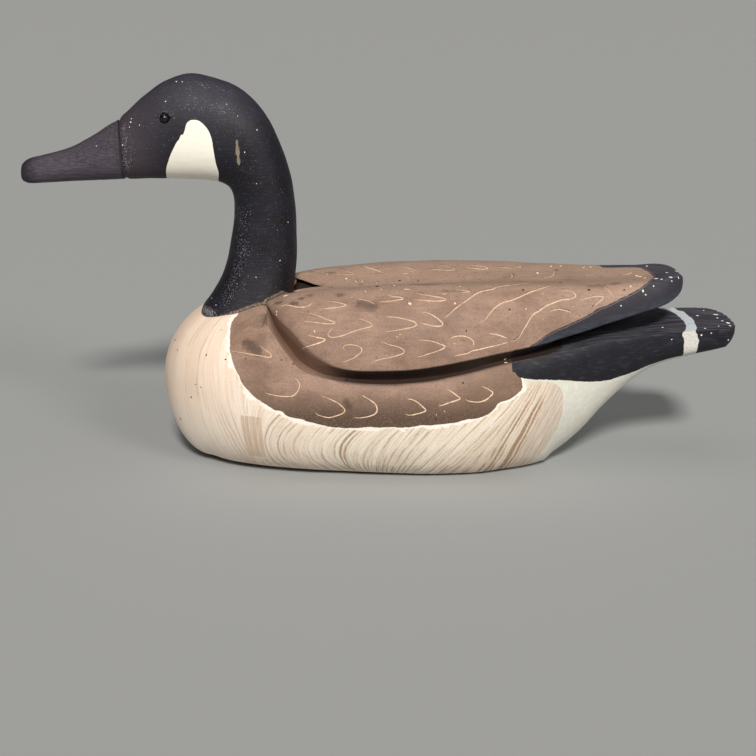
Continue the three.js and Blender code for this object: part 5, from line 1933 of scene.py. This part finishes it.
wood, tree, object_place = opened("bare_wood")
tone = stored("tone")
wood_grain = times(noisy((1.6, 0.8, 0.8)), 0.5)
wood_colour = coats(WOOD_DARK, (WOOD_LIGHT, ramp(plus(tone, wood_grain), 0.45, 1.45)))
for low, high, start, end, shade in WOOD_TONES:
    wood_colour = coats(wood_colour, (shade, ramp(tone, low, high, start, end)))
finish(wood, wood_colour, 0.75, 0.3)

# %% [markdown]
# ## The head's paint
# The head and neck are blue-black over bare wood, the bill a warmer grey-black with its grain
# showing. Pale dust has settled in the brush marks, and the cheek patch is thick cream paint with
# a raised edge. Round the neck's foot the paint stops short of a torn, fibrous joint.

# %% The head's colours, grain and edges
HEAD_BLACK, HEAD_BLUE, HEAD_BROWN, CROWN_DUST_AND_LIGHT = colours("151319 181823 453d43 403e48")
BILL_GREY, BILL_LIGHT, CREASE_PAINTED_SHADE, DUST = colours("3a353d 544e58 100e12 a3a1a8")
CHEEK, CHEEK_SHADE, JOINT_BROWN, JOINT_GREY = colours("f7f3e6 dcd7ca 3e332d 8a7a6c")

head_paint, tree, object_place = opened("head_paint")
along_head, above_floor = along("X"), along("Z")
from_face = stored("face")
coat_fray = noisy(0.6, 2, 0.6)
coat_edge = plus(times(noisy(2.5, 3, 0.6), 0.8), times(coat_fray, 0.4))
coat_edge = minus(coat_edge, 0.6)
GRAIN = (22, 0.8, 0.5)  # lines along the bill, a little broader than they are high
grain = noisy(GRAIN, 3, 0.65)
patches = noisy((14, 12, 12))
print("The grain runs in lines", GRAIN[2], "mm high along the bill")

# %% Black head, grey bill and the crease between them
# Towards the crown the black turns greyer, partly from dust and partly as painted light from
# above.
head_black = coats(
    HEAD_BLACK, (HEAD_BLUE, ramp(patches, 0.35, 0.65)),
    (CROWN_DUST_AND_LIGHT, ramp(above_floor, 190 * MM, 236 * MM, 0.0, 0.6)),
    (HEAD_BROWN, ramp(from_face, 8.0, 34.0, 1.0, 0.0), 0.7),
    (BILL_LIGHT, ramp(grain, 0.5, 0.75, 0.0, 0.3)))
bill = coats(
    BILL_GREY, (BILL_LIGHT, ramp(grain, 0.40, 0.70)),
    (HEAD_BLACK, ramp(along_head, -219 * MM, -208 * MM, 0.7, 0.0)))
# Painted shade: the notch between bill and face is painted near black.
in_crease = calc("ABSOLUTE", plus(from_face, times(coat_edge, 0.3)))
head_base = coats(bill, (head_black, ramp(from_face, -0.15, 0.15)),
                  (CREASE_PAINTED_SHADE, ramp(in_crease, 0.25, 0.7, 0.85, 0.0)))

# %% Dust, cheek patch and the joint at the neck's foot
COAT_RELIEF = 0.2 * MM

speck = plus(noisy(0.55, 1), times(stored("scuff"), 0.16))
cheek_paint = coats(CHEEK, (CHEEK_SHADE, ramp(noisy((18, 18, 0.9)), 0.55, 0.75, 0.0, 0.4)))
cheek_share = ramp(plus(stored("cheek"), times(coat_edge, 0.5)), -0.15, 0.15)
joint_reach = ramp(along_head, -104 * MM, -86 * MM, 0.3, 2.0)
above_joint = plus(stored("foot"), times(coat_edge, 2.2))
joint_wood = coats(JOINT_BROWN, (JOINT_GREY, ramp(noisy((0.5, 0.5, 2.4), 2, 0.6), 0.42, 0.62)))
head_base = coats(
    head_base, (DUST, ramp(speck, 0.72, 0.78, 0.0, 0.8)), (cheek_paint, cheek_share),
    (joint_wood, ramp(minus(joint_reach, above_joint), -0.2, 0.2)))
coat_relief = plus(plus(times(grain, 0.6), times(coat_fray, 0.3)), cheek_share)
finish(head_paint, head_base, ramp(patches, 0.3, 0.7, 0.5, 0.66), 0.28, coat_relief, COAT_RELIEF)

# %% [markdown]
# ## The eyes' glass
# The beads are black glass gone a little dull, so they are rougher than new glass: a soft spot of
# light from the lamps shows on each instead of a sharp one.

# %% Eye glass
glass, tree, object_place = opened("eye_glass")
GLASS_BLACK, GLASS_BROWN = colours("09080a 151012")
glass_base = coats(GLASS_BLACK, (GLASS_BROWN, ramp(noisy(1.2, 1), 0.45, 0.7)))
finish(glass, glass_base, 0.28, 0.5)

# %% [markdown]
# ## Dress the pieces
# The cuts already carry the bare wood as their second material, so only the first is exchanged on
# the head. Faces are shaded smooth, except along edges sharper than the knife would leave, which
# keeps the lips of the cuts and the tail's corners crisp.

# %% Materials and smooth shading
SHARP_ANGLE = math.radians(38)

head.data.materials[0] = head_paint
for bead in eyes.values():
    bead.data.materials.append(glass)
for piece in (body, head, *eyes.values()):
    piece.data.shade_smooth()
    piece.data.set_sharp_from_angle(angle=SHARP_ANGLE)
    print(piece.name, "wears", ", ".join(material.name for material in piece.data.materials))

# %% [markdown]
# ## Hand the pieces over to the frame
# Every piece rides on the part's one body and stands for the plain solid it was shaped from,
# which is hidden.

# %% Ride and replace
for piece, slot_name, node_name in (
        (body, "body_paint", "body"),
        (head, "head_paint", "head_neck"),
        (eyes["bead_eye_left"], "eye_glass", "eye_left"),
        (eyes["bead_eye_right"], "eye_glass", "eye_right")):
    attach(piece, "root")
    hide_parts(node_name)
    print(piece.name, "stands for", node_name)
